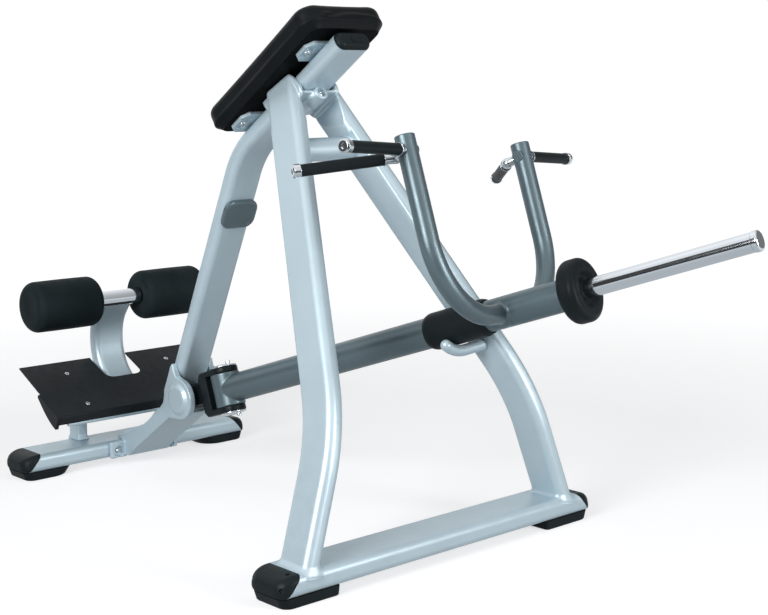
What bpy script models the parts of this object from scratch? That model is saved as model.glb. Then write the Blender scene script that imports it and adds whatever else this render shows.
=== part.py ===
"""T-bar row machine, built as separate named pieces.

Metres, +Z up. The origin is on the floor under the middle of the machine.
+X runs along the machine from the foot plate towards the weight horn, and
+Y is its right-hand side, as seen by the user who leans on the chest pad.
Every moving piece hangs on an empty that stands on its joint's axis.
"""
from math import cos, pi, radians, sin

import bmesh
import bpy
from mathutils import Matrix, Vector

# General clearances and facets
GAP = 0.0003                    # clearance between pieces that touch
CORNER_STEPS = 3                # facets in each rounded tube corner
ROUND_STEPS = 24                # facets round a round tube
FINE_STEPS = 10                 # facets round a small pin or screw
HANDLE_STEPS = 14               # facets round a handle
YOKE_STEPS = 20                 # facets round a yoke tube
POST_STEPS = 4                  # rings along a bend of the roller post
BEND_STEPS = 6                  # rings along a bend of a flat-oval tube

# Flat-oval frame tube: legs, spine and roller post
TUBE_WIDTH = 0.1125
TUBE_DEPTH = 0.0505
TUBE_CORNER = 0.021
TUBE_WALL = 0.003

# Base bars, their end caps and feet
BAR_WIDTH = 0.141
BAR_HEIGHT = 0.0535
BAR_CORNER = 0.0182
BAR_WALL = 0.003
FOOT_HEIGHT = 0.026
FRONT_BAR_X = 0.712
REAR_BAR_X = -0.712
FRONT_BAR_HALF = 0.518          # tube end at mid height
REAR_BAR_HALF = 0.386
SEAM_SLOPE = 0.86               # the tube ends slant in towards the top
CAP_LENGTH = 0.038
CAP_SIDE_ROUND = 0.034
CAP_TOP_ROUND = 0.028
CAP_BOTTOM_ROUND = 0.005
CAP_PLUG = 0.030
FOOT_INSET = 0.008
FOOT_OVERHANG = 0.033           # how far a foot reaches past the middle of the tube's end
FOOT_TAPER = 0.009
FOOT_OUTER_ROUND = 0.024
FRONT_FOOT_LENGTH = 0.181
FRONT_FOOT_ROUND = 0.010        # corner radius at the foot's inner end
REAR_FOOT_LENGTH = 0.180
REAR_FOOT_ROUND = 0.055

# Legs: centre line of the right leg, mirrored for the left one
LEG_BASE = (0.7181, 0.4497, 0.0903)
LEG_KNEE = (0.6963, 0.3479, 0.3845)
LEG_HEAD = (0.2120, 0.0675, 1.1637)
LEG_BEND_RADIUS = 0.50

# Spine
KNEE_X = -0.0437
KNEE_Z = 1.0193
LOWER_ANGLE = radians(65.06)
UPPER_ANGLE = radians(33.77)
SPINE_LOWER = 0.882
SPINE_UPPER = 0.538
SPINE_BEND_RADIUS = 0.25
SPINE_CAP_HEIGHT = 0.016
SPINE_CAP_PLUG = 0.025
SPINE_CAP_BOSS = 0.011

# Head saddle between the legs, measured along and above the upper spine
PLATE_WALL = 0.0118
CHEEK_REAR = 0.204
CHEEK_FRONT = 0.352
CHEEK_NOSE = 0.012              # how far the cheek swells forward of its ends
CHEEK_TOP = 0.033
CHEEK_BOTTOM = 0.043
SADDLE_WEB_REAR = 0.238
HEAD_BOSS_ALONG = 0.366
HEAD_BOSS_BELOW = 0.040
HEAD_BOSS_RADIUS = 0.021
HEAD_BOSS_LENGTH = 0.060
HEAD_RECESS_RADIUS = 0.0125
HEAD_RECESS_DEPTH = 0.009
BOLT_HEAD_RADIUS = 0.010
BOLT_HEAD_HEIGHT = 0.0055
BOLT_SHANK_RADIUS = 0.005

# Cross brace between the legs
BRACE_RADIUS = 0.032
BRACE_WALL = 0.003
BRACE_Z = 1.036

# Nameplate housing on the front face of the spine
BADGE_TOP = 0.143               # distance below the spine's knee
BADGE_BOTTOM = 0.232
BADGE_HALF = 0.058
BADGE_THICKNESS = 0.013
BADGE_CORNER = 0.030

# Chest pad, measured along and above the upper spine
PAD_WIDTH = 0.286
PAD_START = 0.035
PAD_END = 0.569
PAD_CORNER = 0.051
PAD_TOP = 0.1105
PAD_BOARD_THICKNESS = 0.012
PAD_TOP_ROUND = 0.0235
PAD_BOARD_INSET = 0.020
PAD_CROWN = 0.007
PAD_WAIST = 0.0035
PAD_PLATE_THICKNESS = 0.009
PAD_PLATE_HALF = 0.100
PAD_PLATE_CORNER = 0.020
UPPER_PLATE_START = 0.412
UPPER_PLATE_LENGTH = 0.082
LOWER_PLATE_START = 0.066
LOWER_PLATE_LENGTH = 0.091
PAD_BOLT_Y = 0.080
PAD_BOLT_GRIP = 0.009

# Rollers and their post
ROLLER_X = -0.7718
ROLLER_Z = 0.5188
ROLLER_RADIUS = 0.0807
ROLLER_INNER = 0.081
ROLLER_OUTER = 0.3178
ROLLER_ROUND = 0.026
AXLE_SLEEVE_RADIUS = 0.026
AXLE_RADIUS = 0.0125
ROLLER_END_WALL = 0.0138
POST_BACK_X = -0.838
POST_SHOULDER_Z = 0.435
POST_BEND_RADIUS = 0.160
POST_END = -0.690               # measured down the foot plate

# Foot plate: t down the plate, c along the lower spine, both from the origin
PLATE_TOP = -0.062
PLATE_THICKNESS = 0.005
PLATE_REAR = -0.893
PLATE_FRONT = -0.6135
PLATE_REAR_HALF = 0.325
PLATE_FRONT_HALF = 0.333
NOTCH_HALF = 0.068
NOTCH_DEPTH = 0.120
NOTCH_CORNER = 0.030
LIP_DEPTH = 0.031
FLANGE_REAR = -0.742
FLANGE_BULGE = 0.006
FLANGE_DEPTH = 0.045
FLANGE_HEEL = 0.010

# Welded foot frame under the plate
RAIL_Y = 0.1875
RAIL_WIDTH = 0.070
RAIL_HEIGHT = 0.027
RAIL_WALL = 0.004
RAIL_REAR = -0.860
CROSS_START = -0.740
CROSS_END = -0.680
CROSS_HEIGHT = 0.015
FRONT_RAIL_HALF = 0.294
FRONT_RAIL_HEIGHT = 0.013
FRONT_RAIL_WIDTH = 0.040
STUB_X = -0.7515
STUB_LENGTH = 0.055
STUB_Y = 0.1695
STUB_WIDTH = 0.033
WELD_OVERLAP = 0.002
SEAT_DEPTH = 0.012              # how far a welded foot wraps down round a base bar
WELD_FLARE = ((-SEAT_DEPTH, 0.003), (0.002, 0.007), (0.006, 0.003), (0.013, 0.0))
SCREW_HEAD_RADIUS = 0.0075
SCREW_HEAD_DEPTH = 0.0035       # countersunk, flush with the plate
SCREW_SHANK_RADIUS = 0.004
SCREW_LENGTH = 0.014
REAR_SCREW = (-0.8255, 0.190)
FRONT_SCREW = (-0.659, 0.208)

# Pivot casting: the ears stand beside the spine foot
PIVOT_X = -0.320
PIVOT_Z = 0.262
EAR_TOP = ((-0.012, 0.068), (-0.023, 0.084), (-0.031, 0.106), (-0.041, 0.096))
EAR_BACK = ((-0.053, 0.068), (-0.077, 0.018), (-0.078, 0.0), (-0.084, -0.022), (-0.101, -0.040),
            (-0.129, -0.056))
EAR_ROOF = ((-0.147, -0.075), (-0.170, -0.093), (-0.199, -0.111), (-0.246, -0.128), (-0.286, -0.144))
EAR_SOLE = ((-0.280, -0.220), (-0.055, -0.066))
ROOF_SHIFT = (-0.004, -0.0125)  # from the top of the casting's roof to its underside
SOLE_SHIFT = (-0.008, 0.010)    # from the casting's sole to the inside of its front web
TOE_LENGTH = 0.034
TOE_DEPTH = 0.010
TAIL_DEPTH = 0.012
EAR_RADIUS = 0.062
EAR_THICKNESS = 0.0195
BOSS_RADIUS = 0.043
BOSS_HEIGHT = 0.012
WEB_INSET = 0.001               # the webs lie just inside the ears' outline
LUG_OUTER = 0.127
LUG_THICKNESS = 0.015
LUG_BOTTOM = 0.0265
LUG_STEP = 0.006                # the casting's toe stands this far above the lugs' foot
TAIL_LENGTH = 0.026             # how far the casting reaches over the rear bar
LUG_BOLT_Y = 0.0985
LUG_BOLT_Z = 0.050
LUG_POCKET_RADIUS = 0.014
LUG_POCKET_DEPTH = 0.008
LUG_BOLT_RADIUS = 0.008
AXLE_PIN_RADIUS = 0.0125

# Arm: pitch up from level and swing out to the right, as it lies on the hook
ARM_PITCH = radians(18.92)
ARM_SWING = radians(13.2)
PIN_AHEAD = 0.1577              # pin from the pitch axle, along the clevis
PIN_BELOW = 0.0086              # pin's middle below the pitch axle's line
BARREL_RADIUS = 0.040
FORK_WIDTH = 0.084
FORK_GAP = 0.100
FORK_THICKNESS = 0.0175
FORK_WEB_BACK = 0.087           # behind the pin
FORK_WEB_FRONT = 0.0475
FORK_CHAMFER = 0.014
NECK_HALF_WIDTH = 0.036
NECK_HALF_HEIGHT = 0.031
PIN_RADIUS = 0.015
PIN_CAP_RADIUS = 0.041
PIN_CAP_HEIGHT = 0.009
PIN_CAP_CROWN = 0.020
PIN_LOCK_RADIUS = 0.007
PIN_LOCK_HEIGHT = 0.007
PIN_LOCK_AHEAD = 0.028          # locking screw, ahead of the pin
RUNNING_CLEARANCE = 0.0004

ARM_RADIUS = 0.0425
ARM_WALL = 0.004
ARM_END = 1.228
PIVOT_SLEEVE_RADIUS = 0.044
ARM_END_PLATE = 0.012
REST_SLEEVE_START = 0.756
REST_SLEEVE_END = 0.945
REST_SLEEVE_RADIUS = 0.051
REST_SLEEVE_TAPER = 0.012
REST_SLEEVE_EDGE = 0.0035
BUMPER_START = 1.192
BUMPER_END = 1.248
BUMPER_RADIUS = 0.084
BUMPER_ROUND = 0.018
BUMPER_RECESS_RADIUS = 0.048
HORN_RADIUS = 0.025
HORN_WALL = 0.005
HORN_START = 1.190
HORN_SEAM = 1.695
HORN_CAP_RADIUS = 0.0265
HORN_CAP_LENGTH = 0.018
HORN_CAP_PLUG = 0.025

# Yoke
YOKE_STATION = 0.997
YOKE_HALF = 0.2875
YOKE_RADIUS = 0.0265
YOKE_WALL = 0.003
YOKE_BEND_RADIUS = 0.205
YOKE_BASE = -0.005
YOKE_TOP = 0.469
YOKE_BOSS_RADIUS = 0.0165
YOKE_BOSS_HEIGHT = 0.003

# Handles
HANDLE_HEIGHT = 0.4315
HANDLE_ROD_RADIUS = 0.011
HANDLE_NECK_RADIUS = 0.0135
HANDLE_RING_RADIUS = 0.0172
HANDLE_RING_WIDTH = 0.004
HANDLE_CAP_RADIUS = 0.0180
HANDLE_CAP_LENGTH = 0.020
HEX_RADIUS = 0.008
HEX_DEPTH = 0.004
GRIP_RADIUS = 0.0154
SIDE_HANDLE_RING = 0.040        # ring's near face from the prong's axis
SIDE_HANDLE_END = 0.270
REAR_HANDLE_BACK = 0.046        # elbow behind the prong's axis
REAR_HANDLE_IN = 0.0095         # elbow inboard of the prong's axis
REAR_HANDLE_DROP = 0.007        # elbow below the side handle
REAR_HANDLE_ANGLE = radians(51.9)
REAR_HANDLE_TILT = radians(1.9)
REAR_HANDLE_ELBOW = 0.016
REAR_HANDLE_RING = 0.029
REAR_HANDLE_END = 0.270

# Rest hook on the right leg
HOOK_RADIUS = 0.016
HOOK_CLEARANCE = 0.0006         # between the hook and the sleeve that rests in it
HOOK_CRADLE = 0.100             # bend radius under the sleeve
HOOK_TIP_ANGLE = radians(-38)
HOOK_ROOT_ANGLE = radians(5)

COLOURS = {
    "silver paint": ((0.62, 0.69, 0.72), 0.35, 0.55),
    "dark paint": ((0.125, 0.16, 0.18), 0.38, 0.55),
    "black paint": ((0.012, 0.014, 0.016), 0.35, 0.1),
    "black sheet": ((0.010, 0.011, 0.014), 0.55, 0.0),
    "black plastic": ((0.012, 0.013, 0.015), 0.45, 0.0),
    "rubber": ((0.015, 0.015, 0.016), 0.7, 0.0),
    "foam": ((0.012, 0.012, 0.013), 0.6, 0.0),
    "upholstery": ((0.010, 0.011, 0.012), 0.5, 0.0),
    "chrome": ((0.80, 0.82, 0.84), 0.12, 1.0),
    "steel": ((0.55, 0.57, 0.58), 0.3, 1.0),
}

# Values that follow from the sizes above
BAR_Z = FOOT_HEIGHT + GAP + BAR_HEIGHT / 2
BAR_TOP = BAR_Z + BAR_HEIGHT / 2
SPINE_KNEE = Vector((KNEE_X, 0, KNEE_Z))
SPINE_DOWN = Vector((-cos(LOWER_ANGLE), 0, -sin(LOWER_ANGLE)))
SPINE_UP = Vector((cos(UPPER_ANGLE), 0, sin(UPPER_ANGLE)))
SPINE_ABOVE = Vector((-sin(UPPER_ANGLE), 0, cos(UPPER_ANGLE)))
SPINE_FRONT_FACE = Vector((sin(LOWER_ANGLE), 0, -cos(LOWER_ANGLE)))
HALF_TUBE = TUBE_DEPTH / 2
CHEEK_INNER = TUBE_WIDTH / 2 + GAP
CHEEK_OUTER = CHEEK_INNER + PLATE_WALL
PAD_PLATE_LOW = HALF_TUBE + GAP
PAD_LOW = PAD_PLATE_LOW + PAD_PLATE_THICKNESS + GAP
PLATE_LOW = PLATE_TOP - PLATE_THICKNESS
RAIL_TOP = PLATE_LOW - GAP
RAIL_LOW = RAIL_TOP - RAIL_HEIGHT
AXLE_REACH = ROLLER_OUTER - ROLLER_END_WALL
EAR_OUTER = CHEEK_INNER + EAR_THICKNESS
BAR_FRONT = REAR_BAR_X + BAR_WIDTH / 2 + GAP
PIN_STACK = FORK_GAP / 2 + FORK_THICKNESS


def make_material(name):
    """Principled material with the piece's colour, roughness and metallic value."""
    colour, roughness, metallic = COLOURS[name]
    material = bpy.data.materials.new(name)
    material.use_nodes = True
    shader = material.node_tree.nodes["Principled BSDF"]
    shader.inputs["Base Color"].default_value = (*colour, 1)
    shader.inputs["Roughness"].default_value = roughness
    shader.inputs["Metallic"].default_value = metallic
    material.diffuse_color = (*colour, 1)
    return material


def empty(name, parent, matrix):
    """Empty that carries a group of pieces."""
    holder = bpy.data.objects.new(name, None)
    bpy.context.scene.collection.objects.link(holder)
    holder.parent = parent
    holder.matrix_local = matrix
    return holder


def frame_matrix(origin, along, above):
    """Local frame with X along, Z above and Y across."""
    across = above.cross(along)
    rows = Matrix((along, across, above)).transposed().to_4x4()
    return Matrix.Translation(origin) @ rows


def level_frame(origin, along):
    """Local frame with X along and Y level."""
    across = Vector((0, 0, 1)).cross(along).normalized()
    return frame_matrix(origin, along, along.cross(across))


class Model:
    """Holds the empties and makes the objects."""

    def __init__(self):
        self.materials = {}

    def add(self, name, bm, material, parent, cutter=False):
        """Turn a bmesh into a named object under its parent."""
        bmesh.ops.recalc_face_normals(bm, faces=bm.faces)
        mesh = bpy.data.meshes.new(name)
        bm.to_mesh(mesh)
        bm.free()
        item = bpy.data.objects.new(name, mesh)
        bpy.context.scene.collection.objects.link(item)
        item.parent = parent
        if cutter:
            item.hide_render = True
            item.display_type = "WIRE"
        else:
            if material not in self.materials:
                self.materials[material] = make_material(material)
            mesh.materials.append(self.materials[material])
        mesh.shade_smooth()
        mesh.set_sharp_from_angle(angle=radians(35))
        return item

    def tool(self, name, bm, parent):
        """Object that only cuts or joins another one."""
        return self.add(name, bm, None, parent, cutter=True)


def bevel(item, width, segments=2):
    """Round the sharp edges of a plate or a casting."""
    modifier = item.modifiers.new("round edges", "BEVEL")
    modifier.width = width
    modifier.segments = segments
    modifier.limit_method = "ANGLE"
    modifier.angle_limit = radians(40)
    return item


def boolean(item, other, operation):
    """Exact Boolean with another object."""
    modifier = item.modifiers.new(operation.lower() + " " + other.name, "BOOLEAN")
    modifier.operation = operation
    modifier.object = other
    modifier.solver = "EXACT"
    return item


def cut(item, *others):
    """Take the other objects out of this one."""
    for other in others:
        boolean(item, other, "DIFFERENCE")
    return item


def join(item, *others):
    """Weld the other objects to this one."""
    for other in others:
        boolean(item, other, "UNION")
    return item


def rounded(width, depth, corner, steps=CORNER_STEPS):
    """Outline of a rectangle with round corners, counter-clockwise."""
    corner = min(corner, 0.499 * width, 0.499 * depth)
    points = []
    for quarter, (sx, sy) in enumerate(((1, 1), (-1, 1), (-1, -1), (1, -1))):
        for step in range(steps + 1):
            angle = (quarter + step / steps) * pi / 2
            x = sx * (width / 2 - corner) + corner * cos(angle)
            y = sy * (depth / 2 - corner) + corner * sin(angle)
            points.append((x, y))
    return points


def circle(radius, steps=ROUND_STEPS):
    """Outline of a circle."""
    return [(radius * cos(2 * pi * k / steps), radius * sin(2 * pi * k / steps)) for k in range(steps)]


def arc(centre, radius, start, end, steps):
    """Points of an arc, angles in radians."""
    points = []
    for step in range(steps + 1):
        angle = start + (end - start) * step / steps
        points.append((centre[0] + radius * cos(angle), centre[1] + radius * sin(angle)))
    return points


def add_ring(bm, points):
    """Ring of new vertices."""
    return [bm.verts.new(point) for point in points]


def join_rings(bm, first, second):
    """Faces between two rings with the same number of points."""
    count = len(first)
    for k in range(count):
        after = (k + 1) % count
        bm.faces.new((first[k], first[after], second[after], second[k]))


def loft(rings, closed=False):
    """Solid through a list of rings; closed joins the last ring to the first."""
    bm = bmesh.new()
    made = [add_ring(bm, ring) for ring in rings]
    for first, second in zip(made, made[1:]):
        join_rings(bm, first, second)
    if closed:
        join_rings(bm, made[-1], made[0])
    else:
        bm.faces.new(made[0])
        bm.faces.new(made[-1])
    return bm


def slab(outline, low, high):
    """Flat plate: an outline in X and Y, from low to high along Z."""
    return loft([[(x, y, z) for x, y in outline] for z in (low, high)])


def side_plate(outline, low, high):
    """Flat plate: an outline in X and Z, from low to high along Y."""
    return loft([[(x, y, z) for x, z in outline] for y in (low, high)])


def box(low, high):
    """Block between two corners."""
    outline = [(low[0], low[1]), (high[0], low[1]), (high[0], high[1]), (low[0], high[1])]
    return slab(outline, low[2], high[2])


def turned(profile, axis="X", steps=ROUND_STEPS, closed=False):
    """Body turned about an axis from points (distance along it, radius)."""
    bm = bmesh.new()

    def place(distance, radius, angle):
        a = radius * cos(angle)
        b = radius * sin(angle)
        if axis == "X":
            return (distance, a, b)
        if axis == "Y":
            return (b, distance, a)
        return (a, b, distance)

    rings = []
    for distance, radius in profile:
        if radius == 0:
            rings.append([bm.verts.new(place(distance, 0, 0))])
        else:
            rings.append(add_ring(bm, [place(distance, radius, 2 * pi * k / steps) for k in range(steps)]))
    pairs = list(zip(rings, rings[1:]))
    if closed:
        pairs.append((rings[-1], rings[0]))
    for first, second in pairs:
        if len(first) == 1 or len(second) == 1:
            tip, ring = (first[0], second) if len(first) == 1 else (second[0], first)
            for k in range(steps):
                bm.faces.new((tip, ring[k], ring[(k + 1) % steps]))
        else:
            join_rings(bm, first, second)
    if not closed:
        for ring in (rings[0], rings[-1]):
            if len(ring) > 1:
                bm.faces.new(ring)
    return bm


def rod(radius, low, high, axis="Z", steps=ROUND_STEPS):
    """Plain round bar."""
    return turned([(low, radius), (high, radius)], axis, steps)


def running_bore(radius, steps):
    """Radius of a faceted bore whose flats clear a turning pin of this radius."""
    return (radius + RUNNING_CLEARANCE) / cos(pi / steps)


def hex_rod(radius, low, high, axis="Z"):
    """Six-sided bar."""
    return turned([(low, radius), (high, radius)], axis, 6)


def bent_path(points, radius, steps):
    """Centre line with round bends: list of places and directions."""
    points = [Vector(point) for point in points]
    stations = [(points[0], (points[1] - points[0]).normalized())]
    for before, corner, after in zip(points, points[1:], points[2:]):
        into = (corner - before).normalized()
        out = (after - corner).normalized()
        turn = into.angle(out)
        normal = (out - into).normalized()
        middle = corner + normal * radius / cos(turn / 2)
        for step in range(steps + 1):
            angle = turn * (step / steps - 0.5)
            direction = (into + out).normalized() * cos(angle) + normal * sin(angle)
            outward = (into + out).normalized() * sin(angle) - normal * cos(angle)
            stations.append((middle + outward * radius, direction))
    stations.append((points[-1], (points[-1] - points[-2]).normalized()))
    return stations


def sweep(stations, normal, outline):
    """Rings of an outline along a path in the plane with this normal."""
    rings = []
    for place, direction in stations:
        side = direction.cross(normal).normalized()
        rings.append([place + normal * a + side * b for a, b in outline])
    return rings


def hollow_tube(outer, inner):
    """Tube open at both ends: the outer rings, and back along the inner ones."""
    return loft(outer + inner[::-1], closed=True)


def cup(outer, inner):
    """Tube that is open at its first ring and closed at its last one."""
    bm = bmesh.new()
    outside = [add_ring(bm, ring) for ring in outer]
    inside = [add_ring(bm, ring) for ring in inner]
    for rings in (outside, inside):
        for first, second in zip(rings, rings[1:]):
            join_rings(bm, first, second)
        bm.faces.new(rings[-1])
    join_rings(bm, outside[0], inside[0])
    return bm


def mitre(ring, direction, *planes):
    """Slide a ring's points along the tube to the first of the planes (point, normal)."""
    moved = []
    for place in ring:
        slides = []
        for point, normal in planes:
            normal = Vector(normal)
            slides.append((Vector(point) - place).dot(normal) / direction.dot(normal))
        moved.append(place + direction * min(slides))
    return moved


def frame_outline(inset=0.0):
    """Outline of the flat-oval frame tube, wide along the first axis."""
    return rounded(TUBE_WIDTH - 2 * inset, TUBE_DEPTH - 2 * inset, TUBE_CORNER - inset)


def bar_outline(inset=0.0):
    """Outline of a base bar, across X and Z."""
    return rounded(BAR_WIDTH - 2 * inset, BAR_HEIGHT - 2 * inset, BAR_CORNER - inset)


def make_bar(model, root, name, x, half, bolts=False):
    """Base bar: a flat-oval tube across the machine."""
    rings = []
    for inset, ends in ((0, (-half, half)), (BAR_WALL, (half, -half))):
        for y in ends:
            slant = SEAM_SLOPE if y > 0 else -SEAM_SLOPE
            rings.append([(x + a, y - slant * b, BAR_Z + b) for a, b in bar_outline(inset)])
    bar = model.add(name, loft(rings, closed=True), "silver paint", root)
    if bolts:
        for side in (-1, 1):
            hole = rod(BOLT_SHANK_RADIUS + GAP, 0, BAR_WIDTH / 2, "X", FINE_STEPS)
            cutter = model.tool(f"bar_bolt_hole_{side}", hole, root)
            cutter.location = (x + BAR_WIDTH / 4, side * LUG_BOLT_Y, LUG_BOLT_Z)
            cut(bar, cutter)


def make_bar_cap(model, root, name, x, half, side):
    """Moulded cap with a plug inside the tube and a domed outer end."""
    def ring(outline, reach, slope, shift=0.0):
        return [(x + a, side * (half + reach - slope * b), BAR_Z + b + shift) for a, b in outline]

    plug = bar_outline(BAR_WALL + GAP)
    seam = GAP * 1.4
    rings = [ring(plug, -CAP_PLUG, SEAM_SLOPE), ring(plug, seam, SEAM_SLOPE)]
    rings.append(ring(bar_outline(), seam, SEAM_SLOPE))
    for step in range(1, 7):
        out = sin(pi / 2 * step / 6)
        turn = 1 - cos(pi / 2 * step / 6)
        low = CAP_BOTTOM_ROUND * turn
        high = CAP_TOP_ROUND * turn
        width = BAR_WIDTH - 2 * CAP_SIDE_ROUND * turn
        height = BAR_HEIGHT - low - high
        outline = rounded(width, height, BAR_CORNER)
        reach = seam + (CAP_LENGTH - seam) * out
        rings.append(ring(outline, reach, SEAM_SLOPE * (1 - out), (low - high) / 2))
    model.add(name, loft(rings), "black plastic", root)


def foot_outline(inner, outer, half_width, inner_round, outer_round):
    """Outline of a foot from its inner to its outer end, each with its own corners."""
    points = []
    corners = ((outer - outer_round, half_width - outer_round, outer_round),
               (inner + inner_round, half_width - inner_round, inner_round),
               (inner + inner_round, inner_round - half_width, inner_round),
               (outer - outer_round, outer_round - half_width, outer_round))
    for quarter, (along, across, radius) in enumerate(corners):
        points += arc((along, across), radius, quarter * pi / 2, (quarter + 1) * pi / 2, 4)
    return points


def make_foot(model, root, name, x, half, side, length, inner_round):
    """Rubber foot under one end of a base bar, flush with the cap's outer face."""
    outer = half + FOOT_OVERHANG
    inner = outer - length
    half_width = BAR_WIDTH / 2 - FOOT_INSET
    rings = []
    for z, taper in ((0, FOOT_TAPER), (0.003, FOOT_TAPER - 0.002), (FOOT_HEIGHT, 0)):
        pinch = 0.002 if z == 0 else 0
        outline = foot_outline(inner + pinch + taper * inner_round / FOOT_OUTER_ROUND, outer - taper,
                               half_width - pinch, inner_round, FOOT_OUTER_ROUND)
        rings.append([(x + b, side * a, z) for a, b in outline])
    model.add(name, loft(rings), "rubber", root)


def leg_line(side):
    """Centre line points of a leg and the normal of the plane that it bends in."""
    points = [Vector((x, side * y, z)) for x, y, z in (LEG_BASE, LEG_KNEE, LEG_HEAD)]
    normal = (points[1] - points[0]).cross(points[2] - points[1]).normalized()
    if normal.y < 0:
        normal = -normal
    return points, normal


def bar_seat(model, root, name, x, y, half):
    """Cutter with the shape of a base bar and the clearance round it."""
    outline = rounded(BAR_WIDTH + 2 * GAP, BAR_HEIGHT + 2 * GAP, BAR_CORNER + GAP)
    rings = [[(x + a, y + reach, BAR_Z + b) for a, b in outline] for reach in (-half, half)]
    return model.tool(name, loft(rings), root)


def make_leg(model, root, spine, name, side):
    """Bent tube from the front bar to the head saddle."""
    points, normal = leg_line(side)
    stations = bent_path(points, LEG_BEND_RADIUS, BEND_STEPS)
    walls = []
    for inset in (0, TUBE_WALL):
        rings = sweep(stations, normal, [(b, a) for a, b in frame_outline(inset)])
        first = rings[0]
        flared = []
        for height, grow in WELD_FLARE:
            grown = sweep(stations[:1], normal, [(b, a) for a, b in frame_outline(-grow)])[0]
            ring = first if inset else grown
            flared.append(mitre(ring, stations[0][1], ((0, 0, BAR_TOP + height), (0, 0, 1))))
        rings = flared + rings[1:]
        face = ((0, side * (CHEEK_OUTER + GAP + inset), 0), (0, 1, 0))
        ceiling = (SPINE_KNEE + SPINE_ABOVE * (CHEEK_TOP - TUBE_WALL), SPINE_ABOVE)
        rings[-1] = mitre(rings[-1], stations[-1][1], *([face, ceiling] if inset else [face]))
        walls.append(rings)
    leg = model.add(name, cup(*walls), "silver paint", root)
    reach = SPINE_UPPER / 2
    top = box((0, -reach, CHEEK_TOP), (2 * reach, reach, CHEEK_TOP + reach))
    cut(leg, bar_seat(model, root, name + "_seat", FRONT_BAR_X, side * LEG_BASE[1], 0.1),
        model.tool(name + "_top_cut", top, spine))


def make_spine(model, root, spine):
    """Bent tube from the pivot casting to its end under the chest pad."""
    ends = (SPINE_KNEE + SPINE_DOWN * SPINE_LOWER, SPINE_KNEE, SPINE_KNEE + SPINE_UP * SPINE_UPPER)
    stations = bent_path(ends, SPINE_BEND_RADIUS, BEND_STEPS)
    across = Vector((0, 1, 0))
    outer = sweep(stations, across, frame_outline())
    inner = sweep(stations, across, frame_outline(TUBE_WALL))
    model.add("spine_tube", hollow_tube(outer, inner), "silver paint", root)

    def ring(inset, reach):
        return [(SPINE_UPPER + reach, a, b) for a, b in frame_outline(inset)]

    plug = TUBE_WALL + GAP
    rings = [ring(plug, -SPINE_CAP_PLUG), ring(plug, GAP), ring(0, GAP)]
    for share, inset in ((0.35, 0.001), (0.7, 0.004), (0.92, 0.009), (1.0, 0.015)):
        rings.append(ring(inset, SPINE_CAP_HEIGHT * share))
    cap = model.add("spine_end_cap", loft(rings), "black plastic", spine)
    disc = model.tool("cap_boss", rod(SPINE_CAP_BOSS, SPINE_UPPER + SPINE_CAP_HEIGHT / 2,
                                      SPINE_UPPER + SPINE_CAP_HEIGHT + 0.003, "X", FINE_STEPS), spine)
    join(cap, disc)


def make_saddle(model, spine):
    """U-shaped bracket: two cheeks beside the spine, a web under it and a bolt boss."""
    outline = [(CHEEK_REAR, CHEEK_TOP), (CHEEK_REAR + 0.002, 0.012), (SADDLE_WEB_REAR, -CHEEK_BOTTOM),
               (CHEEK_FRONT, -CHEEK_BOTTOM), (CHEEK_FRONT + CHEEK_NOSE * 0.8, -0.034),
               (CHEEK_FRONT + CHEEK_NOSE, -0.020), (CHEEK_FRONT + CHEEK_NOSE * 0.5, 0.006),
               (CHEEK_FRONT - 0.004, 0.026), (CHEEK_FRONT - 0.012, CHEEK_TOP - 0.002),
               (CHEEK_FRONT - 0.020, CHEEK_TOP)]
    cheeks = []
    for side in (-1, 1):
        low, high = sorted((side * CHEEK_INNER, side * CHEEK_OUTER))
        cheeks.append(side_plate(outline, low, high))
    web_top = -HALF_TUBE - GAP
    web = box((SADDLE_WEB_REAR + 0.004, -CHEEK_OUTER, -CHEEK_BOTTOM),
              (CHEEK_FRONT + 0.004, CHEEK_OUTER, web_top))
    saddle = model.add("head_saddle", cheeks[0], "silver paint", spine)
    boss = rod(HEAD_BOSS_RADIUS, HEAD_BOSS_ALONG - HEAD_BOSS_LENGTH, HEAD_BOSS_ALONG, "X")
    boss_item = model.tool("head_boss", boss, spine)
    boss_item.location = (0, 0, -HEAD_BOSS_BELOW)
    above = box((0, -CHEEK_INNER, web_top), (2 * SPINE_UPPER, CHEEK_INNER, web_top + 0.1))
    cheek = model.tool("saddle_cheek", cheeks[1], spine)
    join(saddle, cheek, model.tool("saddle_web", web, spine), boss_item)
    floor = HEAD_BOSS_ALONG - HEAD_RECESS_DEPTH
    bore = BOLT_SHANK_RADIUS + GAP
    drilled = turned([(floor - 0.030, 0), (floor - 0.030, bore), (floor, bore), (floor, HEAD_RECESS_RADIUS),
                      (HEAD_BOSS_ALONG + 0.01, HEAD_RECESS_RADIUS), (HEAD_BOSS_ALONG + 0.01, 0)],
                     "X", FINE_STEPS)
    hole = model.tool("head_boss_recess", drilled, spine)
    hole.location = (0, 0, -HEAD_BOSS_BELOW)
    cut(saddle, model.tool("saddle_slot", above, spine), hole)
    head = floor + GAP
    bolt = turned([(head - 0.028, 0), (head - 0.028, BOLT_SHANK_RADIUS), (head, BOLT_SHANK_RADIUS),
                   (head, BOLT_HEAD_RADIUS), (head + BOLT_HEAD_HEIGHT * 0.6, BOLT_HEAD_RADIUS),
                   (head + BOLT_HEAD_HEIGHT, BOLT_HEAD_RADIUS * 0.75), (head + BOLT_HEAD_HEIGHT, 0)],
                  "X", FINE_STEPS)
    item = model.add("head_bolt", bolt, "steel", spine)
    item.location = (0, 0, -HEAD_BOSS_BELOW)


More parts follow.
